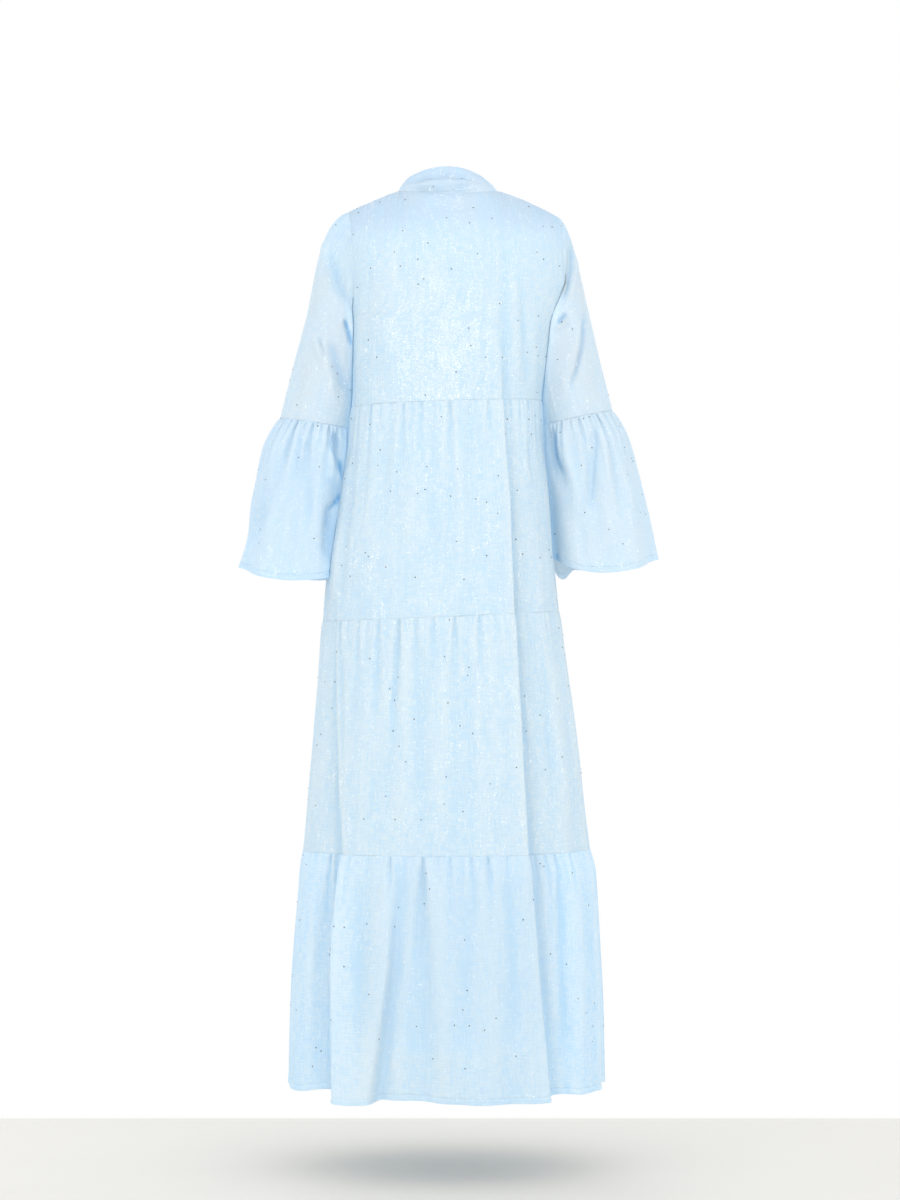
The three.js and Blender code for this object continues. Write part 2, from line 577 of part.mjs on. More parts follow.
function withFrontSlit(geometry) {
  const topZ = -NECK.frontDrop + 20;
  const endZ = -NECK.frontDrop - FRONT_SLIT.length;
  const outline = new THREE.Shape([
    new THREE.Vector2(-FRONT_SLIT.halfWidth, topZ), new THREE.Vector2(-0.5, endZ),
    new THREE.Vector2(0.5, endZ), new THREE.Vector2(FRONT_SLIT.halfWidth, topZ),
  ]);
  const blade = new THREE.ExtrudeGeometry(outline, { depth: 160, bevelEnabled: false });
  blade.deleteAttribute("normal");
  blade.deleteAttribute("uv");
  blade.rotateX(Math.PI / 2); // the outline's height runs along Z, and the blade towards the front
  const solid = solidOf(mergeVertices(blade, 1e-4)).translate([0, -50, 0]);
  return geometryOf(solidOf(geometry).subtract(solid));
}

// ---- the dress ----
const dress = new THREE.Group();
function add(name, geometry) {
  const cloth = new THREE.MeshStandardMaterial({ color: CLOTH_COLOUR, roughness: 0.75, metalness: 0 });
  const mesh = new THREE.Mesh(geometry, cloth);
  mesh.name = name;
  dress.add(mesh);
}

add("collar", collarPiece());
add("bodice_back", bodicePanel(1));
add("bodice_front", withFrontSlit(bodicePanel(-1)));
for (const which of ["left", "right"]) {
  add(`sleeve_${which}`, sleevePiece(which));
  add(`flounce_${which}`, flouncePiece(which));
}
for (const [name, above, below, rows] of [
  ["tier_upper", SEAMS.bodice, SEAMS.upper, TIER_ROWS],
  ["tier_middle", SEAMS.upper, SEAMS.middle, TIER_ROWS],
  ["tier_hem", SEAMS.middle, SEAMS.hem, HEM_TIER_ROWS],
]) {
  add(`${name}_back`, tierPanel(1, above, below, rows));
  add(`${name}_front`, tierPanel(-1, above, below, rows));
}
add("lining", liningPiece());

export default dress;
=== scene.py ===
import math

import bpy
import numpy as np
from mathutils import Matrix, Vector


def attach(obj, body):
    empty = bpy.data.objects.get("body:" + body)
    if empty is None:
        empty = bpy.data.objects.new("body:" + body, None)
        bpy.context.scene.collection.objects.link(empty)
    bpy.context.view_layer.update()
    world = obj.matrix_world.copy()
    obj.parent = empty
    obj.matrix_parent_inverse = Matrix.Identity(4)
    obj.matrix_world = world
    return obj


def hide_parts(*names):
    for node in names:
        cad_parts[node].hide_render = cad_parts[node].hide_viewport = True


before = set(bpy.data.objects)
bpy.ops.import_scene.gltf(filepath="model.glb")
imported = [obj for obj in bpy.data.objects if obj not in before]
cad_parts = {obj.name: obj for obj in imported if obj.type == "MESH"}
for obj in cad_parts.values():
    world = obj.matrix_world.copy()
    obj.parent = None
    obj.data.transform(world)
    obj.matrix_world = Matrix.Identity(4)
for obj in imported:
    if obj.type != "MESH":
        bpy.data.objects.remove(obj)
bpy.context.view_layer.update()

bpy.ops.object.select_all(action="DESELECT")

# ---- camera, floor and light ----
# The dress hangs over a pale studio floor in front of white paper, and is seen from straight behind at
# knee to waist height. Large soft lamps on both sides and in front of it give the folds their shade.
CAMERA_AT = (-0.0032, 5.0, -0.653)
LENS, SENSOR = 93.75, 36  # in millimetres
FLOOR_TOP, FLOOR_EDGE = -1.557, -0.45

bpy.ops.object.camera_add(location=CAMERA_AT, rotation=(math.radians(90), 0, math.radians(180)))
camera = bpy.context.object
camera.name = "camera"
camera.data.lens = LENS
camera.data.sensor_width = SENSOR
bpy.context.scene.camera = camera


class Wire:
    """A socket in a material's nodes, or the way into an empty one. Arithmetic on it adds Math nodes."""

    def __init__(self, tree, socket=None):
        self.tree = tree
        self.socket = socket

    def node(self, kind, settings=None, inputs=None, output=0):
        made = self.tree.nodes.new("ShaderNode" + kind)
        for name, value in (settings or {}).items():
            setattr(made, name, value)
        for name, value in (inputs or {}).items():
            if isinstance(value, Wire):
                self.tree.links.new(value.socket, made.inputs[name])
            else:
                made.inputs[name].default_value = value
        return Wire(self.tree, made.outputs[output]) if made.outputs else None

    def math(self, operation, a, b=0.0):
        return self.node("Math", {"operation": operation}, {0: a, 1: b})

    def __add__(self, other):
        return self.math("ADD", self, other)

    def __sub__(self, other):
        return self.math("SUBTRACT", self, other)

    def __rsub__(self, other):
        return self.math("SUBTRACT", other, self)

    def __mul__(self, other):
        return self.math("MULTIPLY", self, other)

    def __lt__(self, other):
        return self.math("LESS_THAN", self, other)

    __radd__ = __add__
    __rmul__ = __mul__

    def between(self, low, high):
        """0 below low, 1 above high, and smooth between."""
        return self.node(
            "MapRange", {"interpolation_type": "SMOOTHSTEP"},
            {"Value": self, "From Min": low, "From Max": high, "To Min": 0.0, "To Max": 1.0},
        )

    def blend(self, low, high):
        """A colour that goes from low at 0 to high at 1."""
        return self.node("Mix", {"data_type": "RGBA"}, {0: self, 6: low, 7: high}, 2)

    def mixed(self, factor, other):
        """This colour, changed to the other one by a factor."""
        return self.node("Mix", {"data_type": "RGBA"}, {0: factor, 6: self, 7: other}, 2)


def new_material(name):
    """A material with an empty node tree, and a wire to build it with."""
    material = bpy.data.materials.new(name)
    material.use_nodes = True
    material.node_tree.nodes.clear()
    return material, Wire(material.node_tree)


FLOOR_COLOUR, FLOOR_MOTTLE = (0.62, 0.611, 0.583, 1), (0.635, 0.626, 0.598, 1)
FLOOR_WIDTH, FLOOR_MIDDLE, FLOOR_THICKNESS = 5.2, 1.4, 0.04

bpy.ops.mesh.primitive_cube_add(size=1, location=(0, FLOOR_MIDDLE, FLOOR_TOP - FLOOR_THICKNESS / 2))
floor = bpy.context.object
floor.name = "floor"
floor.scale = (FLOOR_WIDTH, 2 * (FLOOR_MIDDLE - FLOOR_EDGE), FLOOR_THICKNESS)
bpy.ops.object.transform_apply(location=True, scale=True)
floor_paint, wire = new_material("floor_paint")
mottle = wire.node("TexNoise", {}, {"Scale": 6.0, "Detail": 3.0}).between(0.3, 0.7)
paint = wire.node("BsdfPrincipled", {}, {
    "Base Color": mottle.blend(FLOOR_COLOUR, FLOOR_MOTTLE), "Roughness": 0.9, "Specular IOR Level": 0.1,
})
wire.node("OutputMaterial", {}, {"Surface": paint})
floor.data.materials.append(floor_paint)

PAPER_WHITE, ROOM_LIGHT = 1.0, 1.25

world = bpy.data.worlds.new("studio")
bpy.context.scene.world = world
world.use_nodes = True
world.node_tree.nodes.clear()
wire = Wire(world.node_tree)
seen = wire.node("LightPath", {}, {}, 0)
strength = seen * (PAPER_WHITE - ROOM_LIGHT) + ROOM_LIGHT
paper = wire.node("Background", {}, {"Color": (1, 1, 1, 1), "Strength": strength})
wire.node("OutputWorld", {}, {"Surface": paper})

LAMP_SIZE = 2.6
LAMPS_AIM = Vector((0, 0, -0.6))
LAMPS = [  # name, place in metres and power in watts
    ("lamp_left", (3.6, 4.2, -0.45), 67),
    ("lamp_right", (-3.6, 4.2, -0.45), 71),
    ("lamp_front", (1.2, -5.0, 0.6), 70),
]
for name, place, power in LAMPS:
    bpy.ops.object.light_add(type="AREA", location=place)
    lamp = bpy.context.object
    lamp.name = name
    lamp.data.size = LAMP_SIZE
    lamp.data.energy = power
    lamp.rotation_euler = (Vector(place) - LAMPS_AIM).to_track_quat("Z", "Y").to_euler()
bpy.context.scene.view_settings.view_transform = "Standard"

# ---- bodice ----
# Two plain panels of light crinkled cotton, the back and the front, sewn at the shoulders and the sides.
# A short faced slit opens the front at the neck. Glitter thread is woven through and thickest at the back,
# where its patch is partly painted highlight.
MM = 0.001
CLOTH = 0.8  # thickness in millimetres, with its crinkle
CHEST_Z = -150
UNDERARM_Z = -205

# Height, then half widths to the left and right, depths to the back and front, and the side seams' plane.
BODY = [
    (-150, 162, 191, 94, 132, 14), (-205, 155, 176, 98, 137, 14), (-270, 153, 161, 100, 135, 14),
    (-340, 154, 150, 101, 130, 14), (-500, 174, 163, 118, 133, 14), (-590, 191, 169, 127, 138, 13),
    (-678, 199, 178, 136, 142, 12), (-870, 215, 206, 150, 150, 10), (-1049, 231, 226, 163, 160, 8),
    (-1090, 236, 235, 168, 165, 8), (-1250, 250, 246, 177, 173, 6), (-1428, 255, 251, 184, 178, 4),
]
# Knife folds: the ridge as heights and angles, where it starts and is full, how far it stands proud and
# the cloth beside it sinks, the degrees it takes before and after, its steep side, and how far it leans.
PLEATS = [
    ([(-150, 118), (-336, 122), (-496, 123), (-715, 121.3), (-921, 120.1), (-1107, 120.2), (-1275, 122.6),
      (-1430, 126)], -190, -760, 10, 6, 24, 15, 1, 7),
    ([(-400, 164), (-1300, 160)], -350, -1049, 6, 10, 15, 12, 1, 5),
    ([(-678, 30), (-1049, 47)], -640, -1049, 4, 6, 18, 14, -1, 3),
    ([(-1049, 47), (-1428, 50)], -1049, -1190, 11, 9, 13, 18, -1, 7),
    ([(-1049, 67), (-1224, 66), (-1428, 60)], -1049, -1230, 9, 6, 13, 15, 1, 7),
    ([(-300, 318), (-1428, 312)], -230, -900, 11, 11, 20, 15, 1, 7),
    ([(-300, 236), (-1428, 229)], -230, -1000, 10, 12, 22, 14, -1, 7),
    ([(-1049, 277), (-1428, 281)], -1040, -1300, 12, 9, 16, 15, 1, 7),
]
PLEAT_TURN, SOFT_TURN = 4.5, 7  # degrees from the ridge to the bottom of its fold, sharp and for the seams
PLEAT_SHADE, PLEAT_SHADE_WIDTH = 0.16, 2.2  # how much deeper a fold's bottom is pressed, and how widely
# Soft flutes: angle, how far out, degrees to each side, and the heights where they start and are full.
FLUTES = [
    (80, -7, 11, -1049, -1300), (103, 5, 12, -700, -1300), (146, 5, 10, -340, -900),
    (20, 5, 13, -700, -1250), (200, 7, 14, -500, -1200), (258, -7, 12, -700, -1250),
    (296, -5, 10, -600, -1300), (342, 7, 13, -600, -1250),
]
# Seams: level, tilt, and how much they rise at the front and the sides and follow the folds.
SEAMS = {
    "bodice": (-340, -5, 0, 0, 0), "upper": (-678, -8, 0, 0, 0),
    "middle": (-1049, -1, 6, 0, 0), "hem": (-1430, 0, 26, 8, 0.5),
}
NECK_HALF = 80
NECK_BACK, NECK_FRONT = 62, 80
NECK_BACK_DROP, NECK_FRONT_DROP = 10, 62
SHOULDER_SHARE = 7 / 26  # of a panel's width, over each shoulder
SHOULDER_SLOPE, SHOULDER_DROOP = 0.34, 0.0009
NECK_TILT_BACK, NECK_TILT_FRONT = 35, 45
# Each side: sign, shoulder tip, degrees to the armhole's back and front edges, and the sleeve cap's reach.
SIDES = {"left": (1, 160, 21, 27, 148), "right": (-1, 172, 14, 27, 76)}


def lerp(a, b, share):
    return a + (b - a) * share


def bell(x):
    return np.where(np.abs(x) < 1, 0.5 + 0.5 * np.cos(np.pi * np.clip(x, -1, 1)), 0.0)


def gauss(x):
    return np.exp(-(x**2))


def ease(x):
    x = np.clip(x, 0, 1)
    return x * x * (3 - 2 * x)


def hermite(start, end, leave, arrive, s):
    """A smooth curve from start to end that leaves and arrives in given directions."""
    curve = (2 * s**3 - 3 * s**2 + 1) * start + (3 * s**2 - 2 * s**3) * end
    return curve + (s**3 - 2 * s**2 + s) * leave + (s**3 - s**2) * arrive


def grown(z, start, full):
    return np.sin(np.pi / 2 * np.clip((start - z) / (start - full), 0, 1))


def turn_between(a, b):
    return (a - b + 180) % 360 - 180


def cos_sin(degrees):
    return np.cos(np.radians(degrees)), np.sin(np.radians(degrees))


def smooth_table(rows, place):
    """The columns of a table at places along its first column, on smooth curves through its rows."""
    rows = np.array(sorted(rows), float)
    where, values = rows[:, 0], rows[:, 1:]
    slope = np.empty_like(values)
    slope[1:-1] = (values[2:] - values[:-2]) / (where[2:] - where[:-2])[:, None]
    slope[0] = (values[1] - values[0]) / (where[1] - where[0])
    slope[-1] = (values[-1] - values[-2]) / (where[-1] - where[-2])
    i = np.clip(np.searchsorted(where, place) - 1, 0, len(where) - 2)
    span = (where[i + 1] - where[i])[..., None]
    s = np.clip((place - where[i])[..., None] / span, 0, 1)
    return np.moveaxis(hermite(values[i], values[i + 1], span * slope[i], span * slope[i + 1], s), -1, 0)


def folds(angle, z, knife=True):
    """How far the big folds carry the cloth out, and along towards larger angles."""
    out, along = np.zeros_like(angle + z), np.zeros_like(angle + z)
    for ridge, start, full, proud, sunk, before, after, steep, lean in PLEATS:
        share = grown(z, start, full)
        heights, angles = zip(*sorted(ridge))
        away = turn_between(angle, np.interp(z, heights, angles)) * steep
        turn = PLEAT_TURN if knife else SOFT_TURN
        flank, drop = bell(away / before), ease(away / turn)
        behind = np.where(away < turn, lerp(proud, -sunk, drop), -sunk * bell((away - turn) / after))
        out = out + share * np.where(away <= 0, proud * flank, behind)
        if knife:
            along = along + share * lean * steep * np.where(away <= 0, flank, 1 - drop)
            pressed = gauss((away - turn - 0.8) / PLEAT_SHADE_WIDTH)
            out = out - share * PLEAT_SHADE * (proud + sunk) * pressed
    for at, far, width, start, full in FLUTES:
        out = out + grown(z, start, full) * far * bell(turn_between(angle, at) / width)
    return out, along


def body(angle, z, extra=0.0, knife=True):
    """Points of the cloth round the body, with `extra` millimetres added outwards."""
    angle, z = np.broadcast_arrays(np.asarray(angle, float), np.asarray(z, float))
    left, right, back, front, middle = smooth_table(BODY, z)
    c, s = cos_sin(angle)
    across, deep = np.where(c > 0, left, right), np.where(s > 0, back, front)
    nx, ny = c / across, s / deep
    size = np.hypot(nx, ny)
    nx, ny = nx / size, ny / size
    out, along = folds(angle, z, knife)
    out = out + extra
    return np.stack([across * c + nx * out - ny * along, middle + deep * s + ny * out + nx * along, z], -1)


def seam_height(seam, angle):
    level, tilt, front_rise, side_rise, follows = SEAMS[seam]
    c, s = cos_sin(angle)
    height = level + tilt * c + side_rise * c**2 + front_rise * np.maximum(0, -s) ** 2
    return height - follows * folds(angle, np.full_like(angle, level), False)[0]


def neck_line(angle):
    c, s = cos_sin(angle)
    drop = np.where(s > 0, NECK_BACK_DROP * s**2, NECK_FRONT_DROP * np.abs(s) ** 1.5)
    return np.stack([NECK_HALF * c, np.where(s > 0, NECK_BACK, NECK_FRONT) * s, -drop], -1)


def edge_angle(side, facing, v):
    full = SIDES[side][2 if facing > 0 else 3]
    return np.where(v <= 1, full, np.where(v < 2, full * np.sqrt(np.clip(1 - (v - 1) ** 2, 0, 1)), 0.0))


def bodice_top(facing, u):
    """The top edge over the left shoulder, the neckline and the right shoulder, and its tilt in degrees."""
    left = u < 0.5
    tip = np.where(left, SIDES["left"][1], SIDES["right"][1])
    along = np.clip(np.where(left, u, 1 - u) / SHOULDER_SHARE, 0, 1)
    x = lerp(tip, NECK_HALF, along)
    past = x - NECK_HALF
    fall = SHOULDER_SLOPE * past + SHOULDER_DROOP * past**2
    shoulder = np.stack([np.where(left, x, -x), np.zeros_like(x), -fall], -1)
    neck_angle = 180 * (u - SHOULDER_SHARE) / (1 - 2 * SHOULDER_SHARE)
    on_neck = (neck_angle > 0) & (neck_angle < 180)
    tilt = (NECK_TILT_BACK if facing > 0 else NECK_TILT_FRONT) * np.sin(np.radians(neck_angle))
    edge = np.where(on_neck[..., None], neck_line(facing * neck_angle), shoulder)
    return edge, np.where(on_neck, tilt, 0.0)


def bodice(facing, u, v):
    """Points of the back (facing 1) or front (-1) panel. v is 0 on top, 1 chest, 2 underarm, 3 seam."""
    u, v = np.broadcast_arrays(np.asarray(u, float), np.asarray(v, float))
    left, right = edge_angle("left", facing, v), edge_angle("right", facing, v)
    angle = facing * (left + (180 - left - right) * u)
    top, tilt = bodice_top(facing, u)
    chest = body(angle, CHEST_Z)
    start, turn = np.radians(tilt), np.radians(lerp(tilt, 90, np.clip(v, 0, 1)))
    outwards = ((np.sin(turn) - np.sin(start)) / (1 - np.sin(start)))[..., None]
    down = (np.cos(start) - np.cos(turn)) / np.cos(start)
    height = lerp(top[..., 2], CHEST_Z, down)[..., None]
    yoke = np.concatenate([lerp(top[..., :2], chest[..., :2], outwards), height], -1)
    bottom = seam_height("bodice", angle)
    z = np.where(v <= 2, lerp(CHEST_Z, UNDERARM_Z, v - 1), lerp(UNDERARM_Z, bottom, v - 2))
    return np.where((v <= 1)[..., None], yoke, body(angle, z))


def normals(points, ring=False):
    """Outward unit normals of a grid of points."""
    if ring:
        wrapped = np.concatenate([points[:, -1:], points, points[:, :1]], 1)
        across = wrapped[:, 2:] - wrapped[:, :-2]
    else:
        across = np.gradient(points, axis=1)
    normal = np.cross(across, np.gradient(points, axis=0))
    normal /= np.maximum(np.linalg.norm(normal, axis=-1, keepdims=True), 1e-9)
    facing = (normal * (points - points.reshape(-1, 3).mean(0))).sum()
    return normal if facing > 0 else -normal


CRINKLE_AREA = 620  # square millimetres of cloth for each crinkle


def crinkles(across, down, seed, ring=False, amount=1.0):
    """Fine uneven crinkles pressed into the cloth, mostly along its length."""
    draw = np.random.default_rng(seed)
    wide, long = across[-1] - across[0], down[-1] - down[0]
    relief = np.zeros((len(down), len(across)))
    for _ in range(int(wide * long / CRINKLE_AREA)):
        x, y = across[0] + draw.random() * wide, down[0] + draw.random() * long
        length, width = draw.uniform(14, 60), draw.uniform(3.2, 7.5)
        height, lean = draw.choice([-1, 1]) * draw.uniform(0.15, 0.62), draw.normal(0, 0.05)
        r0, r1 = np.searchsorted(down, [y - 2 * length, y + 2 * length])
        c0, c1 = np.searchsorted(across, [x - 3 * width, x + 3 * width])
        dy = (down[r0:r1] - y)[:, None]
        dx = (across[c0:c1] - x)[None] - lean * dy
        relief[r0:r1, c0:c1] += amount * height * np.exp(-((dx / width) ** 2) - (dy / length) ** 2)
    if ring:
        relief *= 1 - gauss((across - across[0]) / 8) - gauss((across[-1] - across) / 8)
    return relief


CREASE_DEPTH = 1.3


def creases(points, normal, table):
    """Troughs, or ridges where the depth is negative. Each is depth, width, side (1 back, -1 front) and the
    x and z of every point of its line."""
    relief = np.zeros(points.shape[:2])
    for depth, width, facing, *line in table:
        nearest, share = np.full(relief.shape, 1e9), np.zeros(relief.shape)
        pieces = np.array(line, float).reshape(-1, 2)
        lengths = np.linalg.norm(np.diff(pieces, axis=0), axis=1)
        total, done = lengths.sum(), 0.0
        for start, end, length in zip(pieces[:-1], pieces[1:], lengths):
            step = (end - start) / length
            rel = points[..., [0, 2]] - start
            t = np.clip((rel * step).sum(-1), 0, length)
            away = np.linalg.norm(rel - t[..., None] * step, axis=-1)
            closer = away < nearest
            nearest, share = np.where(closer, away, nearest), np.where(closer, (done + t) / total, share)
            done += length
        fade = ease(share / 0.25 + 0.15) * ease((1 - share) / 0.3)
        relief -= CREASE_DEPTH * depth * gauss(nearest / width) * fade * ease(facing * normal[..., 1] / 0.3)
    return relief


def shaded(points, table):
    """Painted shade where a tube's folds lie deep, by a table like those of creases."""
    return np.clip(-creases(points, normals(points, True), table) / CREASE_DEPTH, 0, 1)


def away_from_edge(points, axis, from_end=False):
    """Millimetres along the cloth from its first row or column, or from its last."""
    step = np.linalg.norm(np.diff(points, axis=axis), axis=-1)
    total = np.cumsum(step, axis)
    zero = np.zeros_like(np.take(total, [0], axis))
    total = np.concatenate([zero, total], axis)
    return np.take(total, [-1], axis) - total if from_end else total


def thinned(distance):
    """The wall's thickness: thin where it laps over the next piece at a seam."""
    return CLOTH * (0.4 + 0.6 * ease(distance / 3.5))


HOLLOW_DEPTH = 1.4
HOLLOW_REACH = 9  # columns to each side that a point's surroundings take in


def groove(distance, depth=1.5, width=2.2):
    return -depth * gauss(distance / width)


def hollows(points, normal, ring):
    """How far each point lies below the cloth around it, from -1 on crests to 1 in folds."""
    around = np.zeros_like(points)
    columns = np.arange(points.shape[1])
    offsets = np.arange(-HOLLOW_REACH, HOLLOW_REACH + 1)
    weights = gauss(offsets / (HOLLOW_REACH / 2))
    for offset, weight in zip(offsets, weights / weights.sum()):
        place = columns + offset
        around += weight * points[:, place % len(columns) if ring else np.clip(place, 0, len(columns) - 1)]
    if not ring:
        around[:, :HOLLOW_REACH] = points[:, :HOLLOW_REACH]
        around[:, -HOLLOW_REACH:] = points[:, -HOLLOW_REACH:]
    depth = ((around - points) * normal).sum(-1)
    return np.clip(depth / HOLLOW_DEPTH, -1, 1)


def shell(outer, thickness, across, down, ring=False, **marks):
    """A closed wall of cloth as vertices, faces, texture places and marks at each vertex."""
    rows, columns = outer.shape[:2]
    normal = normals(outer, ring)
    # painted shade in folds and painted light on crests, carried into the cloth's colour
    marks["fold"] = hollows(outer, normal, ring)
    inner = outer - normal * np.asarray(thickness)[..., None]
    points = np.concatenate([outer.reshape(-1, 3), inner.reshape(-1, 3)])
    last = columns if ring else columns - 1
    r, c = (a.ravel() for a in np.meshgrid(np.arange(rows - 1), np.arange(last), indexing="ij"))
    j, k, end, side = np.arange(rows - 1), np.arange(last), rows - 1, columns - 1
    quads = [
        [(0, r, c), (0, r + 1, c), (0, r + 1, c + 1), (0, r, c + 1)],
        [(1, r, c), (1, r, c + 1), (1, r + 1, c + 1), (1, r + 1, c)],
        [(0, 0, k), (0, 0, k + 1), (1, 0, k + 1), (1, 0, k)],
        [(0, end, k), (1, end, k), (1, end, k + 1), (0, end, k + 1)],
    ]
    if not ring:
        quads.append([(0, j, 0), (1, j, 0), (1, j + 1, 0), (0, j + 1, 0)])
        quads.append([(0, j, side), (0, j + 1, side), (1, j + 1, side), (1, j, side)])
    corners = np.concatenate([
        np.stack([np.stack(np.broadcast_arrays(*corner), -1) for corner in quad], 1) for quad in quads
    ])
    layer, row, column = corners[..., 0], corners[..., 1], corners[..., 2]
    faces = (layer * rows + row) * columns + column % columns
    places = np.append(across, across[-1] + (across[-1] - across[-2])) if ring else across
    texture = np.stack([places[column] * MM, down[row] * MM], -1)
    a, b, d = points[faces[:, 0]], points[faces[:, 1]], points[faces[:, 2]]
    if (a * np.cross(b, d)).sum() < 0:
        faces, texture = faces[:, ::-1], texture[:, ::-1]
    shape = (2, rows, columns)
    return points, faces, texture, {mark: np.broadcast_to(at, shape).ravel() for mark, at in marks.items()}


MARKS = ("glint", "hem", "deep", "bright", "grey", "fold", "recess", "near")


def make_piece(name, shells, material, nodes):
    """One cloth object from its shells, in metres, riding with the dress in place of its CAD nodes."""
    all_points, all_faces, all_texture, all_marks = zip(*shells)
    first = np.cumsum([0] + [len(own) for own in all_points])
    points, texture = np.concatenate(all_points) * MM, np.concatenate(all_texture)
    faces = np.concatenate([own + start for own, start in zip(all_faces, first)])
    mesh = bpy.data.meshes.new(name)
    mesh.vertices.add(len(points))
    mesh.vertices.foreach_set("co", points.ravel())
    mesh.loops.add(faces.size)
    mesh.loops.foreach_set("vertex_index", faces.ravel())
    mesh.polygons.add(len(faces))
    mesh.polygons.foreach_set("loop_start", np.arange(0, faces.size, 4))
    mesh.update(calc_edges=True)
    mesh.uv_layers.new(name="cloth").data.foreach_set("uv", texture.ravel())
    for mark in MARKS:
        at = [own.get(mark, np.zeros(len(own["fold"]))) for own in all_marks]
        mesh.attributes.new(mark, "FLOAT", "POINT").data.foreach_set("value", np.concatenate(at))
    mesh.shade_smooth()
    mesh.set_sharp_from_angle(angle=math.radians(70))
    mesh.materials.append(material)
    piece = bpy.data.objects.new(name, mesh)
    bpy.context.collection.objects.link(piece)
    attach(piece, "root")
    if nodes:
        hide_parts(*nodes)
    return piece


def dyed_cotton(name, light, deep, grey, glitter):
    """Crinkled cotton: two close blues, a loose weave with slubs, and flecks of woven glitter. The first
    two numbers of a pattern are its size in millimetres across and down the cloth."""
    material, wire = new_material(name)
    cloth = wire.node("UVMap", {"uv_map": "cloth"})

    def stretched(across, down):
        return wire.node("Mapping", {}, {"Vector": cloth, "Scale": (1000 / across, 1000 / down, 1)})

    def noise(across, down, detail=2.0):
        places = {"Vector": stretched(across, down), "Scale": 1.0, "Detail": detail}
        return wire.node("TexNoise", {"noise_dimensions": "2D"}, places)

    def mark(label):
        return wire.node("Attribute", {"attribute_name": label}, {}, 2)

    clouds = noise(45, 130).between(0.3, 0.7)
    streaks = noise(5, 70, 4.0).between(0.32, 0.68)
    warp = noise(2.2, 16, 2.0).between(0.36, 0.64)
    weft = noise(15, 2.2, 2.0).between(0.36, 0.64)
    slubs = warp * 0.5 + weft * 0.5
    # painted shade and light: darker blue in folds, lighter on crests
    tone = clouds * 0.22 + streaks * 0.2 + slubs - 0.21 - mark("fold") * 0.45
    colour = tone.blend((*deep, 1), (*light, 1))
    colour = colour.mixed(mark("hem") * 0.6, (*deep, 1))
    # deeper blue: partly the cloth's own tone, partly painted shade and light
    colour = colour.mixed(mark("deep"), (deep[0] * 0.97, deep[1] * 0.985, deep[2] * 1.05, 1))
    # painted light on the lowest tier, most at its sides
    colour = colour.mixed(mark("bright"), tone.blend((*BRIGHT_DEEP, 1), (*BRIGHT_LIGHT, 1)))
    # greyer: partly the sheer cloth's own tint, partly painted shade
    colour = colour.mixed(mark("grey") * (clouds * 0.5 + 0.5), (*grey, 1))
    # painted shade: a dark blue in deep folds, at the shoulders and up the collar
    colour = colour.mixed(mark("recess"), (*PAINTED_SHADE_BLUE, 1))

    height = slubs * 0.7 + streaks * 0.3
    roughness = 0.78 - slubs * 0.1
    if glitter:
        def flecks(across, down, small, large):
            places = {"Vector": stretched(across, down), "Scale": 1.0, "Randomness": 1.0}
            near = wire.node("TexVoronoi", {"voronoi_dimensions": "2D"}, places, 0)
            pick = wire.node("TexVoronoi", {"voronoi_dimensions": "2D"}, places, 1)
            return 1.0 - near.between(small, large), wire.node("SeparateColor", {}, {"Color": pick}, 0)

        thread = noise(8, 75, 3.0).between(0.44, 0.64)
        patch = noise(22, 34, 2.0).between(0.35, 0.65)
        even = mark("glint").between(0.3, 0.85)
        density = mark("glint") * (thread * 0.8 + 0.02) * (patch * 0.7 + 0.3)
        density = density * (1.0 - even * 0.5) + even * 0.19
        frost, frost_pick = flecks(2.5, 3.1, 0.24, 0.58)
        frost = frost * (frost_pick < density * 2.2)
        spark, spark_pick = flecks(4.6, 5.6, 0.14, 0.26)
        spark = spark * (spark_pick < density * density * 1.3 + mark("glint") * 0.008)
        colour = colour.mixed(frost * 0.6, (*FROST, 1))
        colour = colour.mixed(spark * 0.9, (*SPARK, 1))
        roughness = roughness - spark * 0.4 - frost * 0.15
        # painted glint: the glitter flecks give off a little light
        painted_glint = spark * 0.2 + frost * 0.03
        height = height + spark * 0.3 + frost * 0.15
    bump = wire.node("Bump", {}, {"Height": height, "Distance": 0.0005, "Strength": 0.8})
    shader = wire.node("BsdfPrincipled", {}, {
        "Base Color": colour, "Roughness": roughness, "Normal": bump, "Sheen Weight": 0.1,
        "Sheen Roughness": 0.5, "Specular IOR Level": 0.3, "Emission Strength": 1.0 if glitter else 0.0,
    })
    if glitter:
        # painted light: the glitter's glint, and bounced blue where the sleeves lie beside the body
        lit = painted_glint.blend((0, 0, 0, 1), (0.95, 0.98, 1, 1)).mixed(mark("near"), (*BOUNCED_BLUE, 1))
        wire.tree.links.new(lit.socket, shader.socket.node.inputs["Emission Color"])
    through = wire.node("BsdfTranslucent", {}, {"Color": (*light, 1)})
    both = wire.node("MixShader", {}, {0: 0.32 if glitter else 0.5, 1: shader, 2: through})
    wire.node("OutputMaterial", {}, {"Surface": both})
    return material


LIGHT_BLUE = (0.72, 0.82, 0.868)
DEEP_BLUE = (0.56, 0.745, 0.885)
BRIGHT_DEEP, BRIGHT_LIGHT = (0.53, 0.78, 0.99), (0.735, 0.88, 0.99)  # painted light on the lowest tier
GREY_BLUE = (0.66, 0.735, 0.80)
# the dark blue of painted shade
PAINTED_SHADE_BLUE = (0.18, 0.44, 0.72)
BOUNCED_BLUE = (0.10, 0.15, 0.195)  # painted light, thrown back and forth where the sleeves lie beside the body
FROST, SPARK = (0.92, 0.95, 0.96), (0.98, 0.985, 0.99)  # glitter thread: dull, and painted as a glint
glitter_cotton = dyed_cotton("glitter_cotton", LIGHT_BLUE, DEEP_BLUE, GREY_BLUE, True)


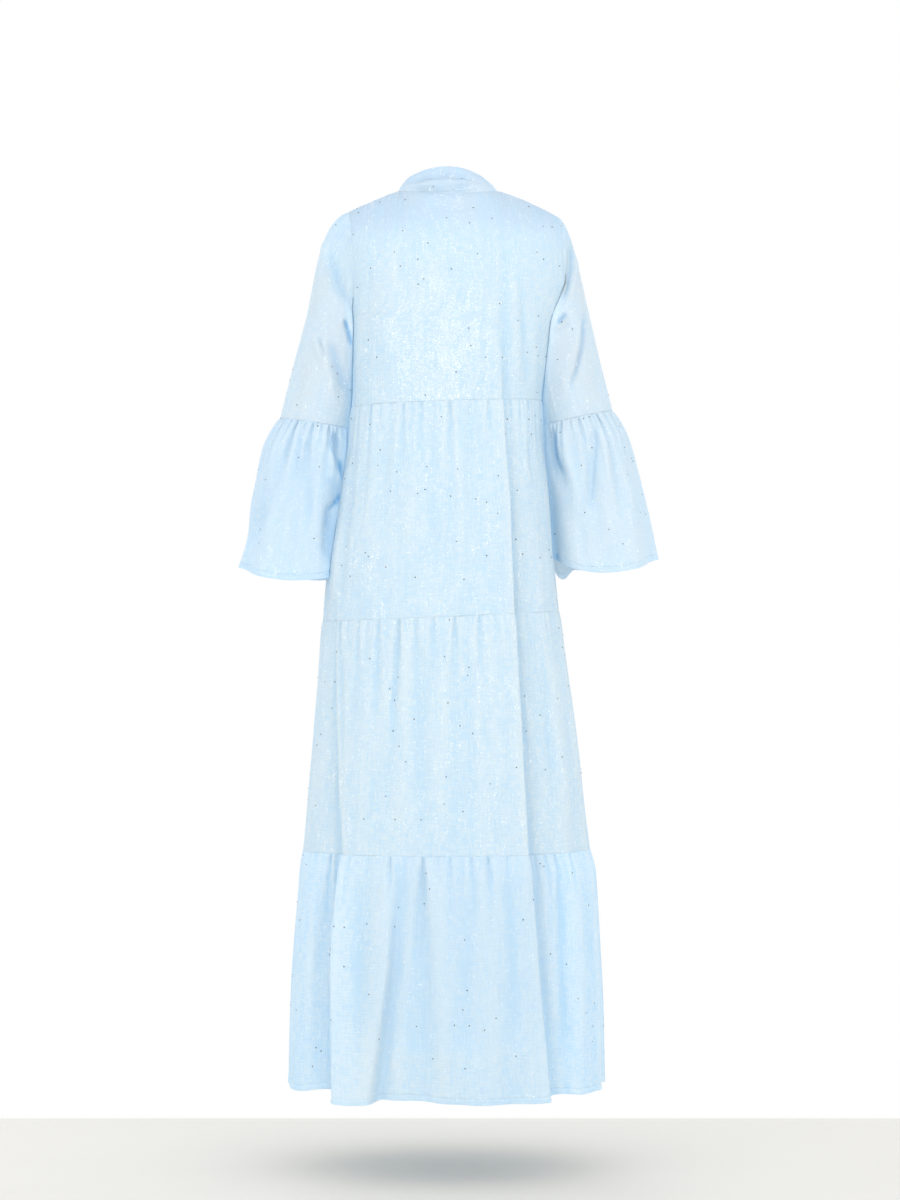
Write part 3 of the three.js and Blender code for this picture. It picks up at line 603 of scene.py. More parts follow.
def spaced(length, dense_top=True, dense_bottom=True, hem=False, step=6.0):
    """Distances down a piece, closer together at its seams and its hem."""
    seam = [0, 0.8, 1.7, 2.8, 4.2, 6, 8.4, 11.5, 15.5, 20.5]
    fold = [0, 1.2, 3, 5.5, 8, 9.6, 10.5, 11.2, 11.9, 12.8, 14.2, 16.5, 20]
    top = seam if dense_top else [0]
    bottom = [length - d for d in (fold if hem else seam if dense_bottom else [0])][::-1]
    count = max(2, int(round((bottom[0] - top[-1]) / step)))
    return np.array(top + list(np.linspace(top[-1], bottom[0], count + 1))[1:-1] + bottom)


CAP_LENGTH, ARMHOLE_LENGTH, SIDE_LENGTH = 190, 55, 135
BODICE_WIDTH = 430
BODICE_CREASES = [
    (2.6, 9, 1, -84, -40, -88, -71, -89, -167, -88, -253, -89, -336),
    (-1.6, 9, 1, -104, -130, -106, -253, -107, -338),
    (1.9, 6, 1, -112, -150, -116, -181, -121, -260, -126, -339),
    (-1.2, 6, 1, -136, -190, -137, -260, -138, -336),
    (1.3, 8, 1, 120, -120, 128, -190, 131, -262, 128, -334),
    (-1.2, 14, 1, 88, -60, 96, -150, 92, -250, 95, -334), (1, 10, 1, 60, -120, 63, -200, 60, -300),
    (-0.8, 10, 1, -40, -110, -44, -200, -42, -320), (0.8, 5, 1, 20, -250, 18, -338),
    (0.9, 5, 1, -20, -262, -21, -338), (1.2, 9, 1, 140, -62, 110, -44, 84, -30),
    (1.2, 9, 1, -150, -66, -118, -48, -86, -32), (1, 8, 1, 70, -20, 30, -34, -30, -34, -72, -20),
    (2, 9, -1, -112, -110, -104, -200, -98, -336), (1.6, 8, -1, 116, -120, 108, -210, 104, -336),
    (-1.4, 14, -1, 58, -130, 62, -220, 60, -336), (-1.2, 12, -1, -52, -130, -60, -230, -58, -336),
    (1.4, 8, -1, 150, -70, 120, -58, 96, -60), (1.4, 8, -1, -156, -74, -124, -60, -98, -60),
]


def bodice_shell(facing, u, seed):
    cap = spaced(CAP_LENGTH, step=4.5, dense_bottom=False)
    side = spaced(SIDE_LENGTH, step=4.5, dense_top=False)
    underarm = CAP_LENGTH + ARMHOLE_LENGTH
    down = np.concatenate([cap, CAP_LENGTH + np.linspace(0, ARMHOLE_LENGTH, 14)[1:], underarm + side[1:]])
    v = np.interp(down, [0, CAP_LENGTH, underarm, down[-1]], [0, 1, 2, 3])
    base = bodice(facing, u[None], v[:, None])
    normal = normals(base)
    across = u * BODICE_WIDTH
    relief = creases(base, normal, BODICE_CREASES) + crinkles(across, down, seed, amount=0.75)
    top, bottom = away_from_edge(base, 0), away_from_edge(base, 0, True)
    relief += groove(top, 0.15, 1.8)
    left, right = away_from_edge(base, 1), away_from_edge(base, 1, True)
    outer = base + normal * relief[..., None]
    sides = np.minimum(left if u[0] < 0.01 else 99, right if u[-1] > 0.99 else 99)
    return outer, across, down, thinned(np.minimum(bottom, sides))


def bodice_glint(outer):
    """More glitter in a tall patch between the shoulders, growing downwards, and less at the sides: glitter
    thread, and partly painted highlight where it catches the light.
    """
    x, z = outer[..., 0], outer[..., 2]
    patch = np.exp(-(((x - 12) / 88) ** 4)) * lerp(0.16, 0.62, ease((-40 - z) / 240))
    return np.clip(patch + 0.1 + 0.22 * gauss((x - 128) / 14) + 0.16 * gauss((x + 104) / 12), 0, 1)


def yoke_painted_shade(points):
    """Painted shade: a deeper blue towards the shoulders."""
    return 0.5 * ease((points[..., 2] + 130) / 110)


def beside_sleeves(points):
    """1 along the body's sides below the arms, where painted bounced light goes, and 0 away from them."""
    y, z = points[..., 1], points[..., 2]
    return gauss((y - 14) / 20) * ease((CHEST_Z - z) / 50) * ease((z + 650) / 80)


BACK_COLUMNS, FRONT_COLUMNS = 230, 100
outer, across, down, thickness = bodice_shell(1, np.linspace(0, 1, BACK_COLUMNS + 1), 11)
# painted shade over the top of the back: greyer, and a darker blue out towards the shoulder ends
shoulders = ease((outer[..., 2] + 90) / 60)
recess = lerp(0.09, 0.16, ease((np.abs(outer[..., 0]) - 50) / 40)) * shoulders
back_shell = shell(
    outer, thickness, across, down, glint=bodice_glint(outer), deep=yoke_painted_shade(outer), grey=0.6 * shoulders,
    recess=recess, near=beside_sleeves(outer),
)
bodice_back = make_piece("bodice_back_cloth", [back_shell], glitter_cotton, ["bodice_back"])
surfaces = {"bodice_back": outer}  # where sequins may go

SLIT_TOP, SLIT_END, SLIT_HALF = -62, -212, 7
FACING_WIDTH = 17
front_shells = []
for side, start, seed in (("left", 0, 12), ("right", 0.5, 13)):
    half = np.linspace(start, start + 0.5, FRONT_COLUMNS + 1)
    outer, across, down, thickness = bodice_shell(-1, half, seed)
    sign, z = SIDES[side][0], outer[..., 2]
    gap = 0.15 + SLIT_HALF * np.clip((z - SLIT_END) / (SLIT_TOP - SLIT_END), 0, 1.1) ** 1.2
    outer[..., 0] += sign * gap * gauss(outer[..., 0] / 26)
    edge = np.abs(outer[..., 0]) - gap
    stitches = gauss((edge - FACING_WIDTH) / 1.3) * ease((z - SLIT_END + 30) / 12)
    outer[..., 1] += 0.7 * stitches - 0.5 * gauss(edge / 3)
    near = beside_sleeves(outer)
    front_shells.append(shell(outer, thickness, across, down, glint=0.22, deep=0.1, near=near))
    surfaces[f"bodice_front_{side}"] = outer
bodice_front = make_piece("bodice_front_cloth", front_shells, glitter_cotton, ["bodice_front"])

# ---- collar ----
# A stand collar cut as one doubled band, sewn round the neckline and open at the centre front. It leans in
# and wrinkles softly round the back of the neck.
COLLAR_HALF, COLLAR_BACK, COLLAR_FRONT = 65, 50, 64
COLLAR_SIDE, COLLAR_BACK_RISE, COLLAR_FRONT_DROP = 21, 13.5, 50
COLLAR_LEAN = 7  # how much further in the right side stands than the left
COLLAR_GAP = 5.5  # degrees from the centre front to each end
COLLAR_ROUND, COLLAR_COLUMNS = 440, 201
COLLAR_WALL = 2.2
COLLAR_CREASES = [
    (5, 3.4, 1, 68, 8, 33, 16, 2, 19, -27, 17, -62, 7), (-3.4, 4.2, 1, 66, 0, 14, 7, -40, 6, -66, -2),
    (4.4, 3.4, 1, 64, -2, 30, -4, 2, -4, -24, 0, -50, 7), (2.2, 3, 1, -6, -8, -30, -3, -56, 4),
    (1.4, 3, 1, 34, 24, 0, 23, -36, 24), (1.2, 3.4, -1, 60, -6, 44, -26, 28, -52),
    (1.2, 3.4, -1, -60, -4, -44, -24, -28, -50),
]
ALLOWANCE = np.array([1, 0.6, 0.3, 0.12])  # where the rows of a seam allowance are, as shares of its reach
SEAM_ROWS = 6  # the allowance and the two rows below the seam, which have no sequins


def tucked(points, normal, down, reach=5.0, under=0.5):
    """Adds the seam allowance above a piece: rows that run on behind the cloth it is sewn to."""
    back = points[0] - points[3]
    back /= np.linalg.norm(back, axis=-1, keepdims=True)
    share = ALLOWANCE[:, None, None]
    rows = points[0] + back * (reach * share) - normal[0] * (under * ease(share * 4))
    return np.concatenate([rows, points]), np.concatenate([-reach * ALLOWANCE, down])


def with_allowance(grid, value):
    """A grid with a value added for the rows of the seam allowance."""
    return np.concatenate([np.full((len(ALLOWANCE), grid.shape[1]), value), grid])


def collar(angle, rise):
    base = neck_line(angle)
    c, s = cos_sin(angle)
    height = COLLAR_SIDE + np.where(s > 0, COLLAR_BACK_RISE * s**2, -COLLAR_FRONT_DROP * np.abs(s) ** 1.5)
    half = np.where(c > 0, COLLAR_HALF, COLLAR_HALF - COLLAR_LEAN)
    top = np.stack([half * c, np.where(s > 0, COLLAR_BACK, COLLAR_FRONT) * s, height], -1)
    return lerp(base, top, rise)


angles = np.linspace(-90 + COLLAR_GAP, 270 - COLLAR_GAP, COLLAR_COLUMNS)
down = np.array([
    0, 0.6, 1.3, 2.2, 3.4, 5, 7, 9.2, 11.5, 14, 16.5, 19, 21.5, 24, 26.5, 29, 31, 33, 35, 36.6, 37.8,
    38.6, 39.2, 39.6,
])
rise = down / down[-1]
base = collar(angles[None], rise[:, None, None])
normal = normals(base)
across = angles / 360 * COLLAR_ROUND
low, high = away_from_edge(base, 0), away_from_edge(base, 0, True)
relief = creases(base, normal, COLLAR_CREASES) + crinkles(across, down, 21, amount=0.6) * ease(high / 4)
relief += groove(low, 0.35, 1.8) + 1.1 * bell((rise[:, None] - 0.45) / 0.55) - 1.1 * (1 - ease(high / 1.8))
outer = base + normal * relief[..., None]
ends = np.minimum(away_from_edge(base, 1), away_from_edge(base, 1, True))
outer -= normal * (0.9 * (1 - ease(ends / 2)))[..., None]
outer, down = tucked(outer, normal, down, 4.0, 0.7)
doubled = ease(np.concatenate([[0, 0, 0, 0.3], rise * 30 + 0.3]))
upper_fold = ease(np.concatenate([[9, 9, 9, 9], high.min(1) / 1.8]))
thickness = (lerp(CLOTH, COLLAR_WALL, doubled) * lerp(0.35, 1, upper_fold))[:, None] * np.ones(len(angles))
# painted shade over the collar: a deeper blue, greyer and darker towards its top
up = np.concatenate([[0, 0, 0, 0], rise])[:, None]
collar_shell = shell(
    outer, thickness, across, down, glint=0.13, deep=lerp(0.35, 0.7, up), grey=lerp(0.6, 1.2, up),
    recess=lerp(0.0, 0.28, up),
)
collar_cloth = make_piece("collar_band", [collar_shell], glitter_cotton, ["collar"])
surfaces["collar"] = outer[SEAM_ROWS:-8]

# ---- sleeves ----
# One panel each, set into the armhole under the bodice's edge and seamed below the arm. They hang straight
# from the shoulder and crease softly at the elbow, with no lining, so they look paler than the body.
SLEEVE_CLEARANCE = 1.5
# Share of the way down, centre (outwards, back, up), half width, half depth, and lift in degrees.
SLEEVE_RINGS = {
    "left": [
        (0.45, 176, -14, -215, 53, 62, 20), (0.72, 194, -14, -292, 56, 62, 14),
        (1, 210, -10, -371, 60, 62, 8.6),
    ],
    "right": [
        (0.45, 176, -10, -212, 53, 63, 20), (0.72, 190, -12, -286, 56, 62, 15),
        (1, 206, -10, -362, 59, 62, 12),
    ],
}
SLEEVE_ROUND, SLEEVE_LENGTH = 380, 320
CAP_END, CAP_HALF = 0.45, 108  # the cap's share of the length, and degrees to where it meets the chest
SLEEVE_CREASES = {
    "left": [
        (4, 4, 1, 163, -206, 158, -228, 151, -252), (-2, 6, 1, 204, -70, 196, -108, 183, -141, 163, -181),
        (3.6, 3.2, 1, 208, -236, 199, -259, 195, -272), (-1.8, 5, 1, 216, -228, 207, -254, 200, -276),
        (2.6, 7, 1, 190, -238, 174, -290, 158, -334), (-1.8, 7, 1, 202, -250, 188, -300, 176, -352),
        (1.6, 8, 1, 232, -262, 238, -330, 242, -372), (1.4, 6, 1, 206, -318, 202, -372),
        (2.4, 6, -1, 226, -236, 206, -252, 184, -256), (2, 7, -1, 196, -150, 208, -210, 212, -260),
    ],
    "right": [
        (3.6, 3.5, 1, -172, -216, -180, -207, -190, -196), (-3, 4.5, 1, -170, -226, -180, -216, -192, -205),
        (3.4, 4, 1, -218, -188, -213, -251, -203, -291, -187, -328),
        (-2.2, 8, 1, -209, -200, -203, -251, -192, -291, -176, -328),
        (2.6, 4.5, 1, -199, -80, -192, -144, -177, -192), (-1.8, 6, 1, -208, -84, -201, -148, -188, -196),
        (1.4, 7, 1, -232, -280, -240, -350), (2.4, 6, -1, -222, -232, -204, -248, -184, -252),
        (2, 7, -1, -196, -150, -206, -210, -212, -260),
    ],
}
# Painted shade in the deepest folds of each sleeve: strength, width, side and the line's x and z.
SLEEVE_SHADES = {
    "left": [
        (0.9, 2.8, 1, 165, -206, 159, -224, 151, -254), (0.3, 8, 1, 187, -100, 173, -157, 154, -192),
        (0.3, 7, 1, 188, -240, 172, -290, 157, -336),
    ],
    "right": [
        (0.5, 3, 1, -172, -216, -180, -207, -189, -197),
        (0.3, 3.5, 1, -218, -190, -213, -251, -203, -291, -189, -325),
        (0.3, 4, 1, -199, -82, -193, -144, -178, -190),
    ],
}


def from_body(points):
    """How far each point is from the body's middle line, how far its cloth is, and where the line is."""
    x, y, z = np.moveaxis(points, -1, 0)
    left, right, back, front, middle = smooth_table(BODY, z)
    across, deep = np.where(x > 0, left, right), np.where(y > middle, back, front)
    wall = body(np.degrees(np.arctan2((y - middle) / deep, x / across)), z, SLEEVE_CLEARANCE, False)
    return np.maximum(np.hypot(x, y - middle), 1e-6), np.hypot(wall[..., 0], wall[..., 1] - middle), middle


def clear_of_body(points):
    """Moves points out of the body, so that a sleeve lies against it instead of through it."""
    have, need, middle = from_body(points)
    grow = np.maximum(1, need / have)
    x, y, z = np.moveaxis(points, -1, 0)
    return np.stack([x * grow, middle + (y - middle) * grow, z], -1)


def beside_body(points):
    """1 where a sleeve lies against the body, where painted bounced light goes, and 0 away from it."""
    have, need, _ = from_body(points)
    return gauss(np.maximum(have - need, 0) / 11) * ease((CHEST_Z - points[..., 2]) / 50)


def ring_angles(count):
    return np.linspace(0, 360, count, endpoint=False)


def ring_points(rows, side, around, t):
    x, y, z, half, depth, lift = smooth_table(rows, t)
    c, s = cos_sin(around)
    level, up = cos_sin(lift)
    return np.stack([SIDES[side][0] * (x + half * c * level), y + depth * s, z + half * c * up], -1)


def sleeve(side, around, t):
    """Points of a sleeve: around 0 outer line, 90 back, 180 inner line; t 0 armhole, 1 flounce."""
    around, t = np.broadcast_arrays(around, t)
    sign, cap = SIDES[side][0], SIDES[side][4]
    below = clear_of_body(ring_points(SLEEVE_RINGS[side], side, around, np.maximum(t, CAP_END)))
    from_top = np.minimum(around, 360 - around)
    v = np.where(from_top <= CAP_HALF, from_top / CAP_HALF, 1 + (from_top - CAP_HALF) / (180 - CAP_HALF))
    u = np.full_like(v, 0.0 if sign > 0 else 1.0)
    start = np.where((around <= 180)[..., None], bodice(1, u, v), bodice(-1, u, v))
    end = ring_points(SLEEVE_RINGS[side], side, around, np.full_like(t, CAP_END))
    top = 0.5 * (1 + np.cos(np.radians(around)))
    flat = np.zeros_like(top)
    leave = np.stack([sign * lerp(30, cap, top), flat, lerp(-30, -42, top)], -1)
    inside = u + sign * 0.012
    within = np.where((around <= 180)[..., None], bodice(1, inside, v), bodice(-1, inside, v))
    onward = start - within
    onward *= np.linalg.norm(leave, axis=-1, keepdims=True) / np.linalg.norm(onward, axis=-1, keepdims=True)
    off_top = ease((125 - from_top) / 50) * ease((from_top - 12) / 40)
    leave = lerp(leave, onward, 0.85 * off_top[..., None])
    arrive = np.stack([sign * lerp(10, 27, top), flat, lerp(-60, -107, top)], -1)
    s = np.clip(t / CAP_END, 0, 1)[..., None]
    point = hermite(start, end, leave, arrive, s)
    point = lerp(point, clear_of_body(point), ease((-60 - point[..., 2]) / 90)[..., None])
    return np.where((t >= CAP_END)[..., None], below, point)


for side, seed in (("left", 31), ("right", 32)):
    around = ring_angles(180)
    down = spaced(SLEEVE_LENGTH, step=4.5)
    t = down / SLEEVE_LENGTH
    base = sleeve(side, around[None], t[:, None])
    normal = normals(base, True)
    across = around / 360 * SLEEVE_ROUND
    relief = creases(base, normal, SLEEVE_CREASES[side]) + crinkles(across, down, seed, True, 0.9)
    top, bottom = away_from_edge(base, 0), away_from_edge(base, 0, True)
    underarm_seam = np.abs(turn_between(around, 180)) * SLEEVE_ROUND / 360
    relief += groove(top, 0.3, 1.3) + groove(underarm_seam, 0.8, 1.6)
    outer, down = tucked(base + normal * relief[..., None], normal, down)
    below_cap = -outer[..., 2] - 100 - 1.8 * (192 - np.abs(outer[..., 0]))
    sleeve_shell = shell(
        outer, with_allowance(thinned(bottom), CLOTH), across, down, True, glint=0.14,
        grey=0.7 * ease(below_cap / 90 + 0.15),
        deep=yoke_painted_shade(outer), recess=shaded(outer, SLEEVE_SHADES[side]), near=beside_body(outer),
    )
    piece = make_piece(f"sleeve_{side}_cloth", [sleeve_shell], glitter_cotton, [f"sleeve_{side}"])
    surfaces[f"sleeve_{side}"] = outer[SEAM_ROWS:]

# ---- sleeve flounces ----
# A straight length of the same cotton, gathered into the end of each sleeve and left to flare as a bell.
# Its hem is turned up twice and stitched.
FLOUNCE_RINGS = {
    "left": [
        (0, 210, -10, -371, 60, 62, 8.6), (0.2, 221, -15, -421, 76, 74, 9),
        (0.5, 230, -22, -494, 82, 84, 9), (0.8, 237, -28, -573, 86, 90, 5), (1, 243, -32, -622, 94, 94, 0),
    ],
    "right": [
        (0, 206, -10, -362, 59, 62, 12), (0.2, 217, -15, -410, 74, 74, 12),
        (0.5, 228, -22, -484, 84, 84, 11), (0.8, 238, -28, -563, 92, 90, 5), (1, 244, -32, -610, 94, 94, 0),
    ],
}
# Rise at the outer and inner edge and in front, twist, and how far a corner of the front dips.
FLOUNCE_HEMS = {"left": (21, 14, 3, 10, 0), "right": (22, 34, 8, 16, 20)}
DIP_AT, DIP_WIDTH = 230, 17
FLOUNCE_FLUTES = [
    (28, -6, 22), (58, 6, 20), (84, -6, 18), (116, 7, 20), (148, -7, 20), (205, 5, 24), (236, -6, 18),
    (266, 7, 20), (298, -6, 20), (326, 6, 18),
]
FLOUNCE_ROUND, FLOUNCE_LENGTH = 540, 256
HEM_BAND, HEM_ROWS = 9, 14  # how wide the doubled band is, and the rows at an edge that have no sequins
# Gathers sewn in, listed one by one: angle, depth, reach in millimetres.
FLOUNCE_GATHERS = {
    "left": [
        (22, 2.2, 60), (38, 2.6, 90), (52, 2, 50), (63, 3, 110), (76, 2.2, 60), (88, 2.6, 80), (101, 2, 45),
        (112, 3, 70), (126, 2.4, 60), (145, 2.2, 50), (162, 1.8, 60), (200, 2.4, 80), (221, 2, 50),
        (243, 2.8, 90), (262, 1.8, 44), (284, 2.6, 80), (306, 2, 50), (331, 2.4, 70),
    ],
    "right": [
        (18, 2, 70), (34, 2.6, 90), (47, 1.8, 45), (60, 3, 120), (74, 2, 50), (90, 2.6, 90), (104, 2.2, 60),
        (118, 2.8, 80), (133, 2.2, 50), (150, 2, 60), (171, 1.6, 50), (206, 2.2, 60), (228, 2.8, 90),
        (247, 1.8, 40), (268, 2.6, 80), (291, 2, 56), (313, 2.8, 80), (338, 1.8, 50),
    ],
}
FLOUNCE_CREASES = {
    "left": [
        (4.2, 9, 1, 239, -376, 252, -405, 266, -436, 284, -486, 300, -534, 318, -583),
        (-3.2, 11, 1, 248, -376, 268, -410, 286, -450, 306, -500, 322, -550),
        (3.2, 8, 1, 219, -378, 221, -420, 223, -500, 226, -560),
        (-2.6, 10, 1, 206, -385, 202, -440, 206, -520, 212, -600),
        (5, 6, 1, 180, -376, 178, -400, 174, -426, 170, -452),
        (-3.5, 8, 1, 196, -378, 195, -404, 186, -432, 178, -462, 180, -486),
        (5, 8, 1, 172, -492, 186, -508, 191, -545, 193, -590), (2, 9, 1, 262, -500, 266, -560, 270, -612),
    ],
    "right": [
        (5, 7, 1, -164, -372, -167, -410, -172, -440, -180, -466, -176, -486),
        (-3, 7, 1, -178, -378, -182, -419, -194, -458),
        (-2.5, 9, 1, -262, -400, -274, -440, -296, -500, -312, -560),
        (-3, 9, 1, -184, -378, -190, -420, -202, -470, -206, -540),
        (3.6, 8, 1, -233, -372, -229, -420, -227, -480, -226, -530),
        (-2.8, 11, 1, -246, -376, -246, -440, -250, -520, -254, -590),
        (2.4, 9, 1, -262, -400, -272, -470, -282, -540), (2, 9, 1, -206, -500, -212, -560, -216, -606),
    ],
}
# Painted shade in the deepest folds of each flounce: strength, width, side and the line's x and z.
FLOUNCE_SHADES = {
    "left": [
        (0.25, 6, 1, 182, -384, 177, -402, 179, -420),
        (0.4, 2, 1, 180, -384, 187, -406, 182, -418, 175, -438), (0.8, 3.6, 1, 173, -430, 171, -450),
        (0.9, 2, 1, 172, -436, 168, -463), (0.22, 9, 1, 188, -455, 178, -478, 184, -500),
        (0.8, 4.4, 1, 170, -484, 180, -502), (0.9, 2.2, 1, 171, -487, 192, -513),
        (0.4, 8, 1, 192, -505, 188, -545, 192, -600), (0.2, 4, 1, 232, -382, 238, -440, 239, -470),
    ],
    "right": [
        (0.28, 8, 1, -166, -380, -169, -410, -172, -440, -182, -462),
        (0.6, 2, 1, -171, -380, -172, -420, -178, -438, -187, -458),
        (0.2, 8, 1, -170, -480, -175, -530, -180, -594), (0.7, 3, 1, -173, -578, -176, -600),
        (0.3, 2.6, 1, -236, -366, -234, -426, -228, -494, -226, -522),
    ],
}


GATHER_DEPTH, FLOUNCE_GATHER_DEPTH = 1.1, 1.25


def gathers(angle, drop, per_degree, table):
    """Small puckers that start at a seam and widen and die out below it. Each is angle, depth, reach."""
    relief = np.zeros(np.broadcast(angle, drop).shape)
    for at, depth, reach in table:
        width = 2.3 + 0.05 * np.maximum(drop, 0)
        away = turn_between(angle, at) * per_degree / width
        pucker = gauss(away) - 0.42 * gauss(np.abs(away) - 1.9)
        relief -= GATHER_DEPTH * depth * pucker * np.exp(-drop / reach)
    return relief * ease((drop + 0.5) / 5)


def small_gathers(seed, per_degree, taken, spacing=9.0, depth=0.75, reach=15.0):
    """Uneven gathers all round, between those listed: bunched in places and sparse in others."""
    draw = np.random.default_rng(seed)
    phases = draw.uniform(0, 360, 3)
    table, at = [], draw.uniform(0, 4)
    while at < 359:
        bunch = 0.6 + 0.8 * np.sin(np.radians(np.array([5, 9, 14]) * at + phases)).mean()
        if all(abs(turn_between(at, other)) * per_degree > 4 for other in taken):
            own_depth = depth * bunch * draw.uniform(0.4, 1.7)
            table.append((at, own_depth, reach * draw.uniform(0.4, 1.2) * bunch + 4))
        at += spacing * draw.uniform(0.45, 1.7) / per_degree
    return table


def flounce(side, around, t):
    point = ring_points(FLOUNCE_RINGS[side], side, around, t)
    c, s = cos_sin(around)
    out = sum(far * bell(turn_between(around, at) / width) for at, far, width in FLOUNCE_FLUTES)
    out = out * np.sin(np.pi / 2 * t) * (1 - 0.25 * (1 - c))
    outer_rise, inner_rise, front_rise, twist, dip = FLOUNCE_HEMS[side]
    rise = np.where(c > 0, outer_rise, inner_rise) * c**2 + twist * c * np.maximum(0, -s)
    rise = rise + front_rise * np.maximum(0, -s) ** 2 - dip * bell(turn_between(around, DIP_AT) / DIP_WIDTH)
    point = point + np.stack([SIDES[side][0] * out * c, out * s, rise * t**3], -1)
    return clear_of_body(point)


def swell(drop, height, reach):
    """How gathered cloth swells out below its seam."""
    return height * (drop / reach) * np.exp(1 - drop / reach)


def hem_relief(from_hem, across=None, pitch=3.1):
    """The doubled band along a hem stands a little proud above its stitches, and ripples along `across`."""
    band = 0.5 * ease((HEM_BAND + 0.6 - from_hem) / 1.2) - gauss((from_hem - HEM_BAND) / 0.8)
    if across is not None:
        band += 0.5 * np.sin(across / pitch) * gauss((from_hem - HEM_BAND) / 5)
    return band


def hem_band(from_hem):
    """1 in the band along a hem, where the cloth is doubled, and 0 above it."""
    return ease((HEM_BAND - from_hem) / 1.2 + 0.5)


# Deep blue and grey per flounce: partly the sheer cloth's own tint, partly painted light and shade by side.
for side, seed, deep, grey in (("left", 41, 0.35, 0.15), ("right", 42, 0.15, 0.4)):
    around = ring_angles(330)
    down = spaced(FLOUNCE_LENGTH, hem=True, step=5)
    t = down / FLOUNCE_LENGTH
    base = flounce(side, *np.broadcast_arrays(around[None], t[:, None]))
    normal = normals(base, True)
    across = around / 360 * FLOUNCE_ROUND
    top, bottom = away_from_edge(base, 0), away_from_edge(base, 0, True)
    by_hand = FLOUNCE_GATHERS[side]
    per_degree = FLOUNCE_ROUND / 360
    table = by_hand + small_gathers(seed + 10, per_degree, [g[0] for g in by_hand])
    relief = creases(base, normal, FLOUNCE_CREASES[side]) * ease(top / 25) + hem_relief(bottom, across)
    relief += crinkles(across, down, seed, True) + groove(top, 0.62, 1.3) + swell(top, 2.2, 22)
    relief += FLOUNCE_GATHER_DEPTH * gathers(around, top, per_degree, table)
    outer, down = tucked(base + normal * relief[..., None], normal, down)
    in_band = with_allowance(hem_band(bottom), 0)
    flounce_shell = shell(
        outer, CLOTH * (1 + in_band), across, down, True, glint=0.13, hem=in_band, deep=deep, grey=grey,
        recess=shaded(outer, FLOUNCE_SHADES[side]), near=beside_body(outer),
    )
    piece = make_piece(f"flounce_{side}_cloth", [flounce_shell], glitter_cotton, [f"flounce_{side}"])
    surfaces[f"flounce_{side}"] = outer[SEAM_ROWS:-HEM_ROWS]

# ---- tiers ----
# Three gathered lengths, each sewn under the edge of the one above and seamed at both sides, so each is a
# back and a front panel. The folds run on from tier to tier. The lowest has a hem turned up and stitched.
TIER_GATHERS = {
    "upper": [
        (26, 2.2, 70), (39, 2.6, 90), (47, 1.4, 30), (55, 1.6, 40), (63.3, 2.8, 110), (69, 1.2, 28),
        (74.5, 2.2, 60), (82, 1.4, 36), (91.2, 3, 120), (97, 1.2, 24), (103.3, 2.2, 70), (114, 2.6, 60),
        (131, 2, 60), (139, 1.8, 46), (147, 2.4, 80), (156, 1.8, 50), (198, 2.2, 70), (207, 1.6, 40),
        (216, 2.8, 100), (224, 1.2, 30), (233, 2.4, 80), (243, 1.6, 36), (251, 3, 120), (262, 1.4, 30),
        (270.5, 2.4, 60), (281, 2, 50), (289, 2.8, 90), (298, 1.4, 34), (309, 2.6, 110), (322, 1.8, 46),
        (334, 2.2, 60), (346, 1.6, 50),
    ],
    "middle": [
        (29.7, 2.6, 60), (33.2, 2.8, 50), (39, 1.6, 34), (45.9, 2.8, 70), (51, 1.6, 36), (57.3, 2.6, 100),
        (62, 1.2, 30), (67.5, 3.4, 120), (75.5, 2.6, 90), (83.7, 2.4, 60), (93.5, 3.2, 110), (99, 1.4, 30),
        (105.2, 2.6, 80), (112, 1.6, 40), (134, 1.6, 40), (147, 2, 60), (193, 2, 50), (204, 2.8, 90),
        (213, 1.6, 36), (221.5, 2.4, 60), (232, 3.2, 120), (241, 1.4, 30), (249, 2.6, 80), (258, 2, 44),
        (268, 3, 100), (277, 1.6, 34), (286.5, 2.8, 90), (296, 2, 50), (305, 3.2, 120), (317, 1.8, 40),
        (327, 2.6, 70), (341, 2.2, 60),
    ],
    "hem": [
        (36.5, 3.4, 60), (40, 2, 40), (44.2, 3.6, 70), (50, 1.6, 36), (58, 1.6, 40), (67.1, 3.3, 130),
        (73, 1.4, 30), (80.4, 3.8, 140), (86, 1.4, 30), (90.7, 2.6, 80), (95, 1.4, 30), (99.1, 2.4, 70),
        (105.1, 3.4, 100), (112, 1.6, 40), (127.5, 2.2, 50), (132.6, 2.4, 60), (137.6, 2.6, 70),
        (145.9, 2.4, 60), (190, 2.6, 60), (200, 2, 40), (211, 3.6, 110), (219, 1.6, 36), (229, 4.2, 130),
        (238, 2, 44), (247.5, 2.8, 80), (257, 1.6, 36), (266, 4.4, 140), (274, 2.2, 50), (284, 3, 90),
        (293.5, 1.8, 40), (303, 4, 120), (314, 2.2, 60), (325, 3.2, 80), (338, 2.4, 60), (350, 2, 50),
    ],
}
